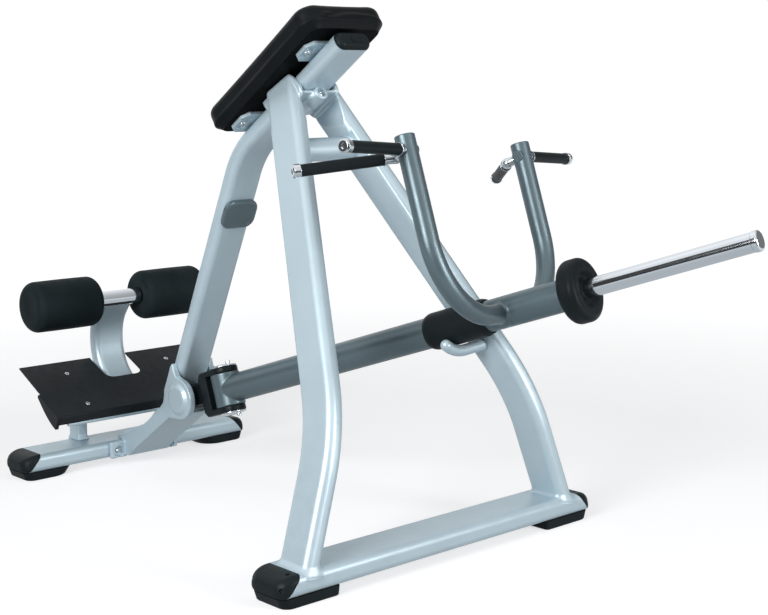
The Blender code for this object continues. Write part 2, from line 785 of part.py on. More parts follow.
def make_brace(model, root):
    """Short round tube across the machine between the two legs."""
    points, normal = leg_line(1)
    up = (points[2] - points[1]).normalized()
    centre = points[1] + up * ((BRACE_Z - points[1].z) / up.z)
    walls = []
    for radius in (BRACE_RADIUS, BRACE_RADIUS - BRACE_WALL):
        rings = []
        for side in (-1, 1):
            out = leg_line(side)[1]
            face = Vector((centre.x, side * centre.y, centre.z)) - side * out * (HALF_TUBE + GAP)
            ring = [Vector((centre.x + a, 0, BRACE_Z + b)) for a, b in circle(radius)]
            rings.append(mitre(ring, Vector((0, 1, 0)), (face, out)))
        walls.append(rings)
    model.add("leg_brace", hollow_tube(*walls), "silver paint", root)


def make_badge(model, root):
    """Bare nameplate housing on the front face of the lower spine."""
    matrix = frame_matrix(SPINE_KNEE, SPINE_DOWN, SPINE_FRONT_FACE)
    holder = empty("spine_front", root, matrix)
    low = HALF_TUBE + GAP
    middle = (BADGE_TOP + BADGE_BOTTOM) / 2
    length = BADGE_BOTTOM - BADGE_TOP
    rings = []
    for inset, height in ((0, 0), (0, 0.55), (0.003, 0.85), (0.010, 1.0)):
        outline = rounded(length - 2 * inset, 2 * (BADGE_HALF - inset), BADGE_CORNER - inset, 5)
        rings.append([(middle + a, b, low + height * BADGE_THICKNESS) for a, b in outline])
    model.add("nameplate_housing", loft(rings), "dark paint", holder)


def pad_outline(inset, waist):
    """Outline of the chest pad whose sides pull in between the corners."""
    length = PAD_END - PAD_START
    middle = (PAD_START + PAD_END) / 2
    corner = max(PAD_CORNER - inset, 0.004)
    half_x = length / 2 - inset
    half_y = PAD_WIDTH / 2 - inset
    points = []
    for quarter, (sx, sy) in enumerate(((1, 1), (-1, 1), (-1, -1), (1, -1))):
        for step in range(7):
            angle = (quarter + step / 6) * pi / 2
            points.append((sx * (half_x - corner) + corner * cos(angle),
                           sy * (half_y - corner) + corner * sin(angle)))
        start = points[-1]
        turned_x, turned_y = ((-1, 1), (-1, -1), (1, -1), (1, 1))[quarter]
        end = (turned_x * half_x, turned_y * (half_y - corner))
        if quarter in (0, 2):
            end = (turned_x * (half_x - corner), turned_y * half_y)
        for step in range(1, 6):
            share = step / 6
            x = start[0] + (end[0] - start[0]) * share
            y = start[1] + (end[1] - start[1]) * share
            pull = waist * sin(pi * share)
            if quarter in (0, 2):
                y -= sy * pull
            else:
                x -= sx * pull
            points.append((x, y))
    return [(middle + x, y) for x, y in points]


def make_pad(model, spine):
    """Cushion on its board, and the two plates that carry them."""
    board_top = PAD_LOW + PAD_BOARD_THICKNESS
    rings = []
    for inset, z in ((PAD_BOARD_INSET + 0.003, PAD_LOW), (PAD_BOARD_INSET, PAD_LOW + 0.003),
                     (PAD_BOARD_INSET, board_top)):
        rings.append([(x, y, z) for x, y in pad_outline(inset, 0)])
    board = model.add("pad_board", loft(rings), "black plastic", spine)

    low = PAD_LOW
    rings = []
    for angle in (0, 30, 60, 90):
        turn = radians(angle)
        inset = PAD_TOP_ROUND / 2 * (1 - sin(turn))
        z = low + PAD_TOP_ROUND / 2 * (1 - cos(turn))
        rings.append([(x, y, z) for x, y in pad_outline(inset, PAD_WAIST * sin(turn))])
    for angle in (0, 22, 45, 68, 90):
        turn = radians(angle)
        inset = PAD_TOP_ROUND * (1 - cos(turn))
        z = PAD_TOP - PAD_CROWN - PAD_TOP_ROUND * (1 - sin(turn))
        rings.append([(x, y, z) for x, y in pad_outline(inset, PAD_WAIST * cos(turn))])
    for share in (0.33, 0.66, 1.0):
        inset = PAD_TOP_ROUND + share * (PAD_WIDTH / 2 - PAD_TOP_ROUND - 0.030)
        z = PAD_TOP - PAD_CROWN * (1 - share) ** 2
        rings.append([(x, y, z) for x, y in pad_outline(inset, 0)])
    cushion = model.add("chest_pad", loft(rings), "upholstery", spine)
    pocket = pad_outline(PAD_BOARD_INSET - GAP, 0)
    cut(cushion, model.tool("board_pocket", slab(pocket, PAD_LOW - 0.01, board_top + GAP), spine))

    for label, start, length in (("upper", UPPER_PLATE_START, UPPER_PLATE_LENGTH),
                                 ("lower", LOWER_PLATE_START, LOWER_PLATE_LENGTH)):
        middle = start + length / 2
        outline = rounded(length, 2 * PAD_PLATE_HALF, PAD_PLATE_CORNER, 1)
        outline = [(middle + a, b) for a, b in outline]
        plate_top = PAD_PLATE_LOW + PAD_PLATE_THICKNESS
        plate_slab = slab(outline, PAD_PLATE_LOW, plate_top)
        plate = model.add(f"{label}_pad_plate", plate_slab, "silver paint", spine)
        for side, hand in ((-1, "left"), (1, "right")):
            place = (middle, side * PAD_BOLT_Y, 0)
            hole = model.tool(f"{label}_{hand}_bolt_hole",
                              rod(BOLT_SHANK_RADIUS + GAP, PAD_PLATE_LOW - 0.01,
                                  PAD_LOW + PAD_BOLT_GRIP + GAP, "Z", FINE_STEPS), spine)
            hole.location = place
            cut(plate, hole)
            cut(board, hole)
            head = PAD_PLATE_LOW - GAP
            profile = [(head - BOLT_HEAD_HEIGHT, 0), (head - BOLT_HEAD_HEIGHT, BOLT_HEAD_RADIUS * 0.75),
                       (head - BOLT_HEAD_HEIGHT * 0.4, BOLT_HEAD_RADIUS), (head, BOLT_HEAD_RADIUS),
                       (head, BOLT_SHANK_RADIUS), (PAD_LOW + PAD_BOLT_GRIP, BOLT_SHANK_RADIUS),
                       (PAD_LOW + PAD_BOLT_GRIP, 0)]
            bolt = model.add(f"{label}_{hand}_pad_bolt", turned(profile, "Z", FINE_STEPS), "steel", spine)
            bolt.location = place


def make_rollers(model, root):
    """Two foam rollers on the axle at the top of the roller post."""
    profile = [(-AXLE_REACH, 0), (-AXLE_REACH, AXLE_RADIUS), (-ROLLER_INNER + GAP, AXLE_RADIUS),
               (-ROLLER_INNER + GAP, AXLE_SLEEVE_RADIUS), (ROLLER_INNER - GAP, AXLE_SLEEVE_RADIUS),
               (ROLLER_INNER - GAP, AXLE_RADIUS), (AXLE_REACH, AXLE_RADIUS), (AXLE_REACH, 0)]
    axle = model.add("roller_axle", turned(profile, "Y"), "chrome", root)
    axle.location = (ROLLER_X, 0, ROLLER_Z)
    bore = running_bore(AXLE_RADIUS, ROUND_STEPS)
    for side, hand in ((-1, "left"), (1, "right")):
        points = [(ROLLER_INNER, bore)]
        points += [(ROLLER_INNER + ROLLER_ROUND * (1 - sin(a)), ROLLER_RADIUS - ROLLER_ROUND * (1 - cos(a)))
                   for a in (radians(90), radians(60), radians(30), 0)]
        points += [(ROLLER_OUTER - ROLLER_ROUND * (1 - sin(a)), ROLLER_RADIUS - ROLLER_ROUND * (1 - cos(a)))
                   for a in (0, radians(30), radians(60), radians(90))]
        points += [(ROLLER_OUTER, 0), (AXLE_REACH + RUNNING_CLEARANCE, 0),
                   (AXLE_REACH + RUNNING_CLEARANCE, bore)]
        bm = bmesh.new()
        rings = []
        for distance, radius in points:
            if radius == 0:
                rings.append([bm.verts.new((0, side * distance, 0))])
            else:
                rings.append(add_ring(bm, [(b, side * distance, a) for a, b in circle(radius)]))
        for first, second in zip(rings, rings[1:] + rings[:1]):
            if len(first) == 1 and len(second) == 1:
                continue
            if len(first) == 1 or len(second) == 1:
                tip, ring = (first[0], second) if len(first) == 1 else (second[0], first)
                for k in range(ROUND_STEPS):
                    bm.faces.new((tip, ring[k], ring[(k + 1) % ROUND_STEPS]))
            else:
                join_rings(bm, first, second)
        holder = empty(f"{hand}_roller_axis", root, Matrix.Translation((ROLLER_X, 0, ROLLER_Z)))
        model.add(f"{hand}_roller", bm, "foam", holder)


def make_post(model, root):
    """Curved tube from under the foot plate to the roller axle."""
    centre = RAIL_TOP - CROSS_HEIGHT - GAP - HALF_TUBE
    down = SPINE_FRONT_FACE
    low = down * POST_END - SPINE_DOWN * centre
    corner_z = low.z + (low.x - POST_BACK_X) * cos(LOWER_ANGLE) / sin(LOWER_ANGLE)
    points = [Vector((ROLLER_X, 0, ROLLER_Z)), Vector((POST_BACK_X, 0, POST_SHOULDER_Z)),
              Vector((POST_BACK_X, 0, corner_z)), low]
    stations = bent_path(points, POST_BEND_RADIUS, POST_STEPS)
    across = Vector((0, 1, 0))
    outer = sweep(stations, across, frame_outline())
    inner = sweep(stations, across, frame_outline(TUBE_WALL))
    post = model.add("roller_post", hollow_tube(outer, inner), "silver paint", root)
    seat = model.tool("axle_seat", rod(AXLE_SLEEVE_RADIUS + GAP, -0.1, 0.1, "Y"), root)
    seat.location = (ROLLER_X, 0, ROLLER_Z)
    cut(post, seat)
    reach = 0.2
    beyond = model.tool("axle_top", box((0, -0.1, -reach), (reach, 0.1, reach)), root)
    into = (points[0] - points[1]).normalized()
    beyond.matrix_local = frame_matrix(points[0], into, Vector((0, 1, 0)).cross(into) * -1)
    cut(post, beyond)


def make_foot_plate(model, root, plate):
    """Folded sheet with a notch, a front lip and side flanges, and its screws."""
    notch = PLATE_REAR + NOTCH_DEPTH
    right = [(PLATE_REAR, PLATE_REAR_HALF), (PLATE_REAR, NOTCH_HALF)]
    right += arc((notch - NOTCH_CORNER, NOTCH_HALF - NOTCH_CORNER), NOTCH_CORNER, pi / 2, 0, 4)
    outline = [(PLATE_FRONT, PLATE_FRONT_HALF)] + right
    outline += [(x, -y) for x, y in outline[::-1]]
    sheet = model.add("foot_plate", slab(outline, PLATE_LOW, PLATE_TOP), "black sheet", plate)
    lip = box((PLATE_FRONT - PLATE_THICKNESS, -PLATE_FRONT_HALF, PLATE_TOP - LIP_DEPTH),
              (PLATE_FRONT, PLATE_FRONT_HALF, PLATE_TOP - 0.001))
    join(sheet, model.tool("plate_lip", lip, plate))
    for side in (-1, 1):
        heel = PLATE_TOP - FLANGE_HEEL
        drop = FLANGE_DEPTH - FLANGE_HEEL
        length = PLATE_FRONT - FLANGE_REAR
        edge = [(FLANGE_REAR, PLATE_TOP - 0.001)]
        edge += [(FLANGE_REAR + length * k / 8, heel - drop * sin(pi / 2 * k / 8)) for k in range(9)]
        edge += [(PLATE_FRONT, PLATE_TOP - 0.001)]
        inner = side * (PLATE_FRONT_HALF - PLATE_THICKNESS)
        outer = side * (PLATE_FRONT_HALF + FLANGE_BULGE)
        low, high = sorted((inner, outer))
        flange = model.tool(f"plate_flange_{side}", side_plate(edge, low, high), plate)
        join(sheet, bevel(flange, 0.002, 1))
    low = PLATE_LOW - SCREW_LENGTH
    cone = PLATE_TOP - SCREW_HEAD_DEPTH
    bore = SCREW_SHANK_RADIUS + GAP
    sink = [(low - GAP, 0), (low - GAP, bore), (cone, bore), (PLATE_TOP, SCREW_HEAD_RADIUS + GAP),
            (PLATE_TOP + SCREW_HEAD_DEPTH, SCREW_HEAD_RADIUS + GAP), (PLATE_TOP + SCREW_HEAD_DEPTH, 0)]
    profile = [(low, 0), (low, SCREW_SHANK_RADIUS), (cone, SCREW_SHANK_RADIUS),
               (PLATE_TOP, SCREW_HEAD_RADIUS), (PLATE_TOP, 0)]
    for (along, across), label in ((REAR_SCREW, "rear"), (FRONT_SCREW, "front")):
        for side, hand in ((-1, "left"), (1, "right")):
            hole = model.tool(f"{label}_{hand}_screw_hole", turned(sink, "Z", FINE_STEPS), plate)
            screw = model.add(f"{label}_{hand}_plate_screw", turned(profile, "Z", FINE_STEPS), "steel", plate)
            for item in (hole, screw):
                item.location = (along, side * across, 0)
            cut(sheet, hole)
            cut(bpy.data.objects["foot_frame"], hole)


def make_foot_frame(model, root, plate):
    """Welded rails under the foot plate, on two stub posts on the rear bar."""
    rail_end = PLATE_FRONT - PLATE_THICKNESS - GAP
    rail_front_top = PLATE_TOP - LIP_DEPTH - GAP
    cross_low = RAIL_TOP - CROSS_HEIGHT
    inside = RAIL_Y - RAIL_WIDTH / 2 + WELD_OVERLAP
    cross = box((CROSS_START, -inside, cross_low), (CROSS_END, inside, RAIL_TOP))
    frame = model.add("foot_frame", cross, "silver paint", plate)
    front = box((PLATE_FRONT - FRONT_RAIL_WIDTH, -FRONT_RAIL_HALF, rail_front_top - FRONT_RAIL_HEIGHT),
                (PLATE_FRONT, FRONT_RAIL_HALF, rail_front_top))
    parts = [bevel(model.tool("front_rail", front, plate), 0.003)]
    rail_low = min(RAIL_LOW, rail_front_top - WELD_OVERLAP)
    for side in (-1, 1):
        low, high = sorted((side * (RAIL_Y - RAIL_WIDTH / 2), side * (RAIL_Y + RAIL_WIDTH / 2)))
        rail_box = box((RAIL_REAR, low, rail_low), (rail_end, high, RAIL_TOP))
        rail = model.tool(f"side_rail_{side}", rail_box, plate)
        hollow = box((RAIL_REAR + RAIL_WALL, low + RAIL_WALL, rail_low - 0.01),
                     (rail_end - RAIL_WALL, high - RAIL_WALL, RAIL_TOP - RAIL_WALL))
        parts.append(cut(rail, model.tool(f"side_rail_hollow_{side}", hollow, plate)))
        rail_bottom = (rail_low - STUB_X * cos(LOWER_ANGLE)) / sin(LOWER_ANGLE)
        low, high = sorted((side * (STUB_Y - STUB_WIDTH / 2), side * (STUB_Y + STUB_WIDTH / 2)))
        stub = box((STUB_X - STUB_LENGTH / 2, low, BAR_TOP - SEAT_DEPTH),
                   (STUB_X + STUB_LENGTH / 2, high, rail_bottom + 0.1))
        over = box((PLATE_REAR, -PLATE_REAR_HALF, RAIL_TOP - WELD_OVERLAP),
                   (PLATE_FRONT, PLATE_REAR_HALF, RAIL_TOP + 0.2))
        stub_item = model.tool(f"stub_post_{side}", stub, root)
        cut(stub_item, model.tool(f"stub_top_{side}", over, plate))
        flare = loft([[(STUB_X + a, side * STUB_Y + b, z) for a, b in
                       rounded(STUB_LENGTH + grow, STUB_WIDTH + grow, 0.004)]
                      for z, grow in ((BAR_TOP - SEAT_DEPTH, 0.004), (BAR_TOP - 0.004, 0.010),
                                      (BAR_TOP + 0.005, 0.008), (BAR_TOP + 0.014, 0.001))])
        parts += [stub_item, model.tool(f"stub_weld_{side}", flare, root)]
    join(frame, *parts)
    cut(frame, bar_seat(model, root, "foot_frame_seat", REAR_BAR_X, 0, 0.3))


def from_pivot(points, shift=(0, 0)):
    """Places in X and Z from offsets to the pitch axis."""
    return [(PIVOT_X + x + shift[0], PIVOT_Z + z + shift[1]) for x, z in points]


def ear_outline():
    """Side outline of the pivot casting, in X and Z, counter-clockwise."""
    knob = arc((PIVOT_X, PIVOT_Z), EAR_RADIUS, radians(-85), radians(85), 14)
    tail = BAR_FRONT - TAIL_LENGTH
    rear = [(tail, BAR_TOP + TAIL_DEPTH), (tail, BAR_TOP + GAP), (BAR_FRONT, BAR_TOP + GAP)]
    toe_z = LUG_BOTTOM + LUG_STEP
    toe = [(BAR_FRONT, toe_z), (BAR_FRONT + TOE_LENGTH, toe_z)]
    return knob + from_pivot(EAR_TOP + EAR_BACK + EAR_ROOF) + rear + toe + from_pivot(EAR_SOLE)


def make_casting(model, root):
    """Forked foot that joins the spine, the rear bar and the pitch axle."""
    outline = ear_outline()
    ears = []
    for side in (-1, 1):
        low, high = sorted((side * CHEEK_INNER, side * EAR_OUTER))
        ears.append(side_plate(outline, low, high))
    casting = model.add("pivot_casting", ears[0], "silver paint", root)
    join(casting, model.tool("right_ear", ears[1], root))
    half = EAR_OUTER - WEB_INSET
    toe_z = LUG_BOTTOM + LUG_STEP
    face = from_pivot(EAR_SOLE[::-1]) + [(BAR_FRONT + TOE_LENGTH, toe_z), (BAR_FRONT, toe_z),
                                         (BAR_FRONT, toe_z + TOE_DEPTH)] + from_pivot(EAR_SOLE, SOLE_SHIFT)
    join(casting, model.tool("front_web", side_plate(face, -half, half), root))
    tail = BAR_FRONT - TAIL_LENGTH
    roof = from_pivot(EAR_ROOF, (0, -WEB_INSET))
    roof += [(tail, BAR_TOP + TAIL_DEPTH - WEB_INSET), (tail, BAR_TOP + GAP), (BAR_FRONT, BAR_TOP + GAP)]
    roof += from_pivot(EAR_ROOF[::-1], ROOF_SHIFT)
    join(casting, model.tool("rear_web", side_plate(roof, -half, half), root))
    for side in (-1, 1):
        boss = turned([(0, BOSS_RADIUS + 0.010), (BOSS_HEIGHT * 0.5, BOSS_RADIUS + 0.002),
                       (BOSS_HEIGHT * 0.8, BOSS_RADIUS - 0.001), (BOSS_HEIGHT, BOSS_RADIUS - 0.006)], "Y")
        if side < 0:
            bmesh.ops.scale(bm := boss, vec=(1, -1, 1), verts=boss.verts)
        item = model.tool(f"pivot_boss_{side}", boss, root)
        item.location = (PIVOT_X, side * (EAR_OUTER - 0.001), PIVOT_Z)
        low, high = sorted((side * (EAR_OUTER - 0.010), side * LUG_OUTER))
        lug = box((BAR_FRONT, low, LUG_BOTTOM), (BAR_FRONT + LUG_THICKNESS, high, BAR_TOP))
        join(casting, item, bevel(model.tool(f"lug_{side}", lug, root), 0.003, 1))
        pocket = [(LUG_BOLT_Y + a, LUG_BOLT_Z + b) for a, b in arc((0, 0), LUG_POCKET_RADIUS, 0, pi, 8)]
        pocket += [(LUG_BOLT_Y - LUG_POCKET_RADIUS, LUG_BOLT_Z - 0.016),
                   (LUG_BOLT_Y + LUG_POCKET_RADIUS, LUG_BOLT_Z - 0.016)]
        floor = BAR_FRONT + LUG_THICKNESS - LUG_POCKET_DEPTH
        pocket_bm = loft([[(x, side * y, z) for y, z in pocket] for x in (floor, floor + 0.02)])
        hole = rod(BOLT_SHANK_RADIUS + GAP, BAR_FRONT - 0.01, floor + 0.01, "X", FINE_STEPS)
        hole_item = model.tool(f"lug_hole_{side}", hole, root)
        hole_item.location = (0, side * LUG_BOLT_Y, LUG_BOLT_Z)
        cut(casting, model.tool(f"lug_pocket_{side}", pocket_bm, root), hole_item)
        head = floor + GAP
        profile = [(head - 0.028, 0), (head - 0.028, BOLT_SHANK_RADIUS), (head, BOLT_SHANK_RADIUS),
                   (head, LUG_BOLT_RADIUS), (head + 0.005, LUG_BOLT_RADIUS),
                   (head + 0.006, LUG_BOLT_RADIUS * 0.85), (head + 0.006, 0)]
        hand = "left" if side < 0 else "right"
        bolt = model.add(f"{hand}_casting_bolt", turned(profile, "X", FINE_STEPS), "steel", root)
        bolt.location = (0, side * LUG_BOLT_Y, LUG_BOLT_Z)
    reach = EAR_OUTER - 0.002
    bore_rod = rod(AXLE_PIN_RADIUS + GAP, -reach - GAP, reach + GAP, "Y", FINE_STEPS)
    bore = model.tool("pitch_axle_bore", bore_rod, root)
    bore.location = (PIVOT_X, 0, PIVOT_Z)
    cut(casting, bore)
    axle = model.add("pitch_axle", rod(AXLE_PIN_RADIUS, -reach, reach, "Y", FINE_STEPS), "steel", root)
    axle.location = (PIVOT_X, 0, PIVOT_Z)


def make_clevis(model, holder):
    """Fork that turns on the pitch axle and carries the upright pin."""
    half = CHEEK_INNER - 0.001
    clevis = model.add("clevis", rod(BARREL_RADIUS, -half, half, "Y"), "black paint", holder)
    web_back = PIN_AHEAD - FORK_WEB_BACK
    web_front = PIN_AHEAD - FORK_WEB_FRONT
    neck = box((0.005, -NECK_HALF_WIDTH, -NECK_HALF_HEIGHT),
               (web_back + 0.004, NECK_HALF_WIDTH, NECK_HALF_HEIGHT))
    low = -PIN_BELOW - PIN_STACK
    high = -PIN_BELOW + PIN_STACK
    edge = [(web_back, low + FORK_CHAMFER), (web_back + FORK_CHAMFER, low), (web_front, low),
            (web_front, high), (web_back + FORK_CHAMFER, high), (web_back, high - FORK_CHAMFER)]
    web = side_plate(edge, -FORK_WIDTH / 2, FORK_WIDTH / 2)
    parts = [model.tool("fork_neck", neck, holder), bevel(model.tool("fork_web", web, holder), 0.004)]
    nose = arc((PIN_AHEAD, 0), FORK_WIDTH / 2, -pi / 2, pi / 2, 14)
    outline = nose + [(web_back + FORK_CHAMFER + 0.004, FORK_WIDTH / 2),
                      (web_back + FORK_CHAMFER + 0.004, -FORK_WIDTH / 2)]
    for side, label in ((-1, "lower"), (1, "upper")):
        low, high = sorted((side * FORK_GAP / 2, side * PIN_STACK))
        prong = slab(outline, low - PIN_BELOW, high - PIN_BELOW)
        parts.append(bevel(model.tool(f"fork_{label}_prong", prong, holder), 0.003))
    join(clevis, *parts)
    axle_bore = rod(running_bore(AXLE_PIN_RADIUS, FINE_STEPS), -half - 0.01, half + 0.01, "Y", FINE_STEPS)
    pin_bore = rod(PIN_RADIUS + GAP, -PIN_STACK - 0.02, PIN_STACK + 0.01, "Z")
    pin_item = model.tool("fork_pin_bore", pin_bore, holder)
    pin_item.location = (PIN_AHEAD, 0, 0)
    cut(clevis, model.tool("fork_axle_bore", axle_bore, holder), pin_item)

    face = PIN_STACK + GAP
    crown = face + PIN_CAP_HEIGHT
    dome = [(face, PIN_CAP_RADIUS), (face + 0.4 * PIN_CAP_HEIGHT, PIN_CAP_RADIUS),
            (face + 0.7 * PIN_CAP_HEIGHT, PIN_CAP_RADIUS - 0.006), (crown, PIN_CAP_CROWN), (crown, 0)]
    shank = [(-PIN_STACK - 0.006, 0), (-PIN_STACK - 0.006, PIN_RADIUS), (face, PIN_RADIUS)]
    pin = model.add("pivot_pin", turned(shank + dome, "Z"), "chrome", holder)
    socket = 0.006 + 2 * GAP
    lower = [(PIN_STACK + socket, 0), (PIN_STACK + socket, PIN_RADIUS + GAP), (face, PIN_RADIUS + GAP)]
    nut = model.add("pivot_pin_nut", turned(lower + dome, "Z"), "chrome", holder)
    nut.rotation_euler = (pi, 0, 0)
    for item, side in ((pin, 1), (nut, -1)):
        item.location = (PIN_AHEAD, 0, -PIN_BELOW)
        low, high = sorted((side * (face + 0.003), side * (crown + PIN_LOCK_HEIGHT)))
        lock = model.tool(f"pin_lock_{side}", rod(PIN_LOCK_RADIUS, low, high, "Z", FINE_STEPS), holder)
        lock.location = (PIN_AHEAD + PIN_LOCK_AHEAD, 0, -PIN_BELOW)
        join(item, lock)


def make_arm(model, arm):
    """Arm tube with its pivot sleeve, rest sleeve, bumper and weight horn."""
    half = FORK_GAP / 2 - GAP
    tube = model.add("arm_tube", rod(ARM_RADIUS, 0.010, ARM_END - GAP, "X"), "dark paint", arm)
    join(tube, model.tool("pivot_sleeve", rod(PIVOT_SLEEVE_RADIUS, -half, half, "Z"), arm))
    horn_bore = HORN_RADIUS + GAP
    inside = [(PIVOT_SLEEVE_RADIUS + 0.012, 0), (PIVOT_SLEEVE_RADIUS + 0.012, ARM_RADIUS - ARM_WALL),
              (ARM_END - ARM_END_PLATE, ARM_RADIUS - ARM_WALL), (ARM_END - ARM_END_PLATE, horn_bore),
              (ARM_END + 0.02, horn_bore), (ARM_END + 0.02, 0)]
    bore = rod(running_bore(PIN_RADIUS, ROUND_STEPS), -half - 0.01, half + 0.01, "Z")
    cut(tube, model.tool("arm_inside", turned(inside, "X"), arm), model.tool("sleeve_bore", bore, arm))

    seat = ARM_RADIUS + GAP
    lead = REST_SLEEVE_TAPER
    edge = seat + REST_SLEEVE_EDGE
    ring = [(REST_SLEEVE_START, seat), (REST_SLEEVE_START, edge),
            (REST_SLEEVE_START + lead, REST_SLEEVE_RADIUS), (REST_SLEEVE_END - lead, REST_SLEEVE_RADIUS),
            (REST_SLEEVE_END, edge), (REST_SLEEVE_END, seat)]
    model.add("rest_sleeve", turned(ring, "X", closed=True), "rubber", arm)

    wide = BUMPER_RADIUS
    soft = BUMPER_ROUND
    ring = [(BUMPER_START, seat)]
    ring += [(BUMPER_START + soft * (1 - cos(a)), wide - soft + soft * sin(a)) for a in
             (0, radians(30), radians(60), radians(90))]
    ring += [(BUMPER_END - soft * (1 - sin(a)), wide - soft + soft * cos(a)) for a in
             (0, radians(30), radians(60), radians(90))]
    ring += [(BUMPER_END, BUMPER_RECESS_RADIUS), (ARM_END, BUMPER_RECESS_RADIUS - 0.002), (ARM_END, seat)]
    model.add("bumper", turned(ring, "X", closed=True), "rubber", arm)

    inner = HORN_RADIUS - HORN_WALL
    ring = [(HORN_START, HORN_RADIUS), (HORN_SEAM, HORN_RADIUS), (HORN_SEAM, inner), (HORN_START, inner)]
    model.add("weight_horn", turned(ring, "X", closed=True), "chrome", arm)
    plug = inner - GAP
    cap_low = HORN_SEAM + GAP
    cap_high = HORN_SEAM + HORN_CAP_LENGTH
    profile = [(HORN_SEAM - HORN_CAP_PLUG, 0), (HORN_SEAM - HORN_CAP_PLUG, plug), (cap_low, plug),
               (cap_low, HORN_CAP_RADIUS), (cap_high - 0.004, HORN_CAP_RADIUS),
               (cap_high - 0.001, HORN_CAP_RADIUS - 0.003), (cap_high, HORN_CAP_RADIUS - 0.007),
               (cap_high, 0)]
    model.add("horn_cap", turned(profile, "X"), "chrome", arm)


def make_prong(model, arm, hand, side):
    """One side of the yoke: a bent tube from the arm up to its handles."""
    inner_end = 0.012
    points = [Vector((YOKE_STATION, side * inner_end, YOKE_BASE)),
              Vector((YOKE_STATION, side * YOKE_HALF, YOKE_BASE)),
              Vector((YOKE_STATION, side * YOKE_HALF, YOKE_TOP))]
    stations = bent_path(points, YOKE_BEND_RADIUS, BEND_STEPS + 2)
    along = Vector((1, 0, 0))
    short = stations[:-1] + [(stations[-1][0] - Vector((0, 0, YOKE_WALL)), stations[-1][1])]
    outer = sweep(stations, along, circle(YOKE_RADIUS, YOKE_STEPS))
    inner = sweep(short, along, circle(YOKE_RADIUS - YOKE_WALL, YOKE_STEPS))
    prong = model.add(f"{hand}_prong", cup(outer, inner), "dark paint", arm)
    boss = rod(YOKE_BOSS_RADIUS, -YOKE_RADIUS - YOKE_BOSS_HEIGHT, -YOKE_RADIUS + 0.002, "Y", FINE_STEPS)
    if side < 0:
        bmesh.ops.scale(boss, vec=(1, -1, 1), verts=boss.verts)
    boss_item = model.tool(f"{hand}_prong_boss", boss, arm)
    boss_item.location = (YOKE_STATION, side * YOKE_HALF, HANDLE_HEIGHT)
    around = rod(ARM_RADIUS + GAP, YOKE_STATION - 0.2, YOKE_STATION + 0.2, "X")
    join(prong, boss_item)
    cut(prong, model.tool(f"{hand}_prong_seat", around, arm))


def cap_profile(start, end):
    """End of a handle: rod, domed cap and a hexagon recess."""
    return [(start, HANDLE_ROD_RADIUS), (start, HANDLE_CAP_RADIUS), (end - 0.004, HANDLE_CAP_RADIUS),
            (end - 0.001, HANDLE_CAP_RADIUS - 0.002), (end, HANDLE_CAP_RADIUS - 0.005), (end, 0)]


def make_handle(model, arm, name, origin, direction, side, rear):
    """Steel rod with a ring, a cap and a rubber grip, on the prong at origin."""
    holder = empty(f"{name}_axis", arm, level_frame(origin, direction))
    if rear:
        ring = REAR_HANDLE_RING
        end = REAR_HANDLE_END
        ball = REAR_HANDLE_ELBOW
        start = [(-ball, 0), (-ball, HEX_RADIUS), (-ball * 0.8, ball * 0.7), (-ball * 0.35, ball * 0.95),
                 (0, ball), (ball * 0.6, ball * 0.9), (ring, HANDLE_NECK_RADIUS)]
    else:
        ring = SIDE_HANDLE_RING
        end = SIDE_HANDLE_END
        start = [(YOKE_RADIUS * 0.7, 0), (YOKE_RADIUS * 0.7, HANDLE_NECK_RADIUS), (ring, HANDLE_NECK_RADIUS)]
    ring_end = ring + HANDLE_RING_WIDTH
    cap = end - HANDLE_CAP_LENGTH
    profile = start + [(ring, HANDLE_RING_RADIUS), (ring_end, HANDLE_RING_RADIUS)]
    profile += [(ring_end, HANDLE_ROD_RADIUS)]
    profile += cap_profile(cap, end)
    handle = model.add(name, turned(profile, "X", HANDLE_STEPS), "steel", holder)
    socket = model.tool(name + "_hexagon", hex_rod(HEX_RADIUS, end - HEX_DEPTH, end + 0.01, "X"), holder)
    if rear:
        toward = Vector((YOKE_STATION, side * YOKE_HALF, HANDLE_HEIGHT)) - origin
        stub_rod = rod(HANDLE_NECK_RADIUS, 0.002, toward.length, "X", HANDLE_STEPS)
        stub = model.tool(name + "_stub", stub_rod, arm)
        stub.matrix_local = level_frame(origin, toward.normalized())
        join(handle, stub)
    around = rod(YOKE_RADIUS + GAP, -0.1, 0.1, "Z")
    seat = model.tool(name + "_seat", around, arm)
    seat.location = (YOKE_STATION, side * YOKE_HALF, HANDLE_HEIGHT)
    cut(handle, socket, seat)
    grip = [(ring_end + GAP, HANDLE_ROD_RADIUS + GAP), (ring_end + GAP, GRIP_RADIUS),
            (cap - GAP, GRIP_RADIUS), (cap - GAP, HANDLE_ROD_RADIUS + GAP)]
    model.add(name.replace("handle", "grip"), turned(grip, "X", HANDLE_STEPS, closed=True), "rubber", holder)


def make_handles(model, arm):
    """Two handles on each prong: one straight out, one back and out."""
    for hand, side in (("left", -1), ("right", 1)):
        prong = Vector((YOKE_STATION, side * YOKE_HALF, HANDLE_HEIGHT))
        make_handle(model, arm, f"{hand}_side_handle", prong, Vector((0, side, 0)), side, rear=False)
        elbow = prong + Vector((-REAR_HANDLE_BACK, -side * REAR_HANDLE_IN, -REAR_HANDLE_DROP))
        level = Vector((-cos(REAR_HANDLE_ANGLE), side * sin(REAR_HANDLE_ANGLE), 0))
        direction = level * cos(REAR_HANDLE_TILT) + Vector((0, 0, sin(REAR_HANDLE_TILT)))
        make_handle(model, arm, f"{hand}_rear_handle", elbow, direction, side, rear=True)


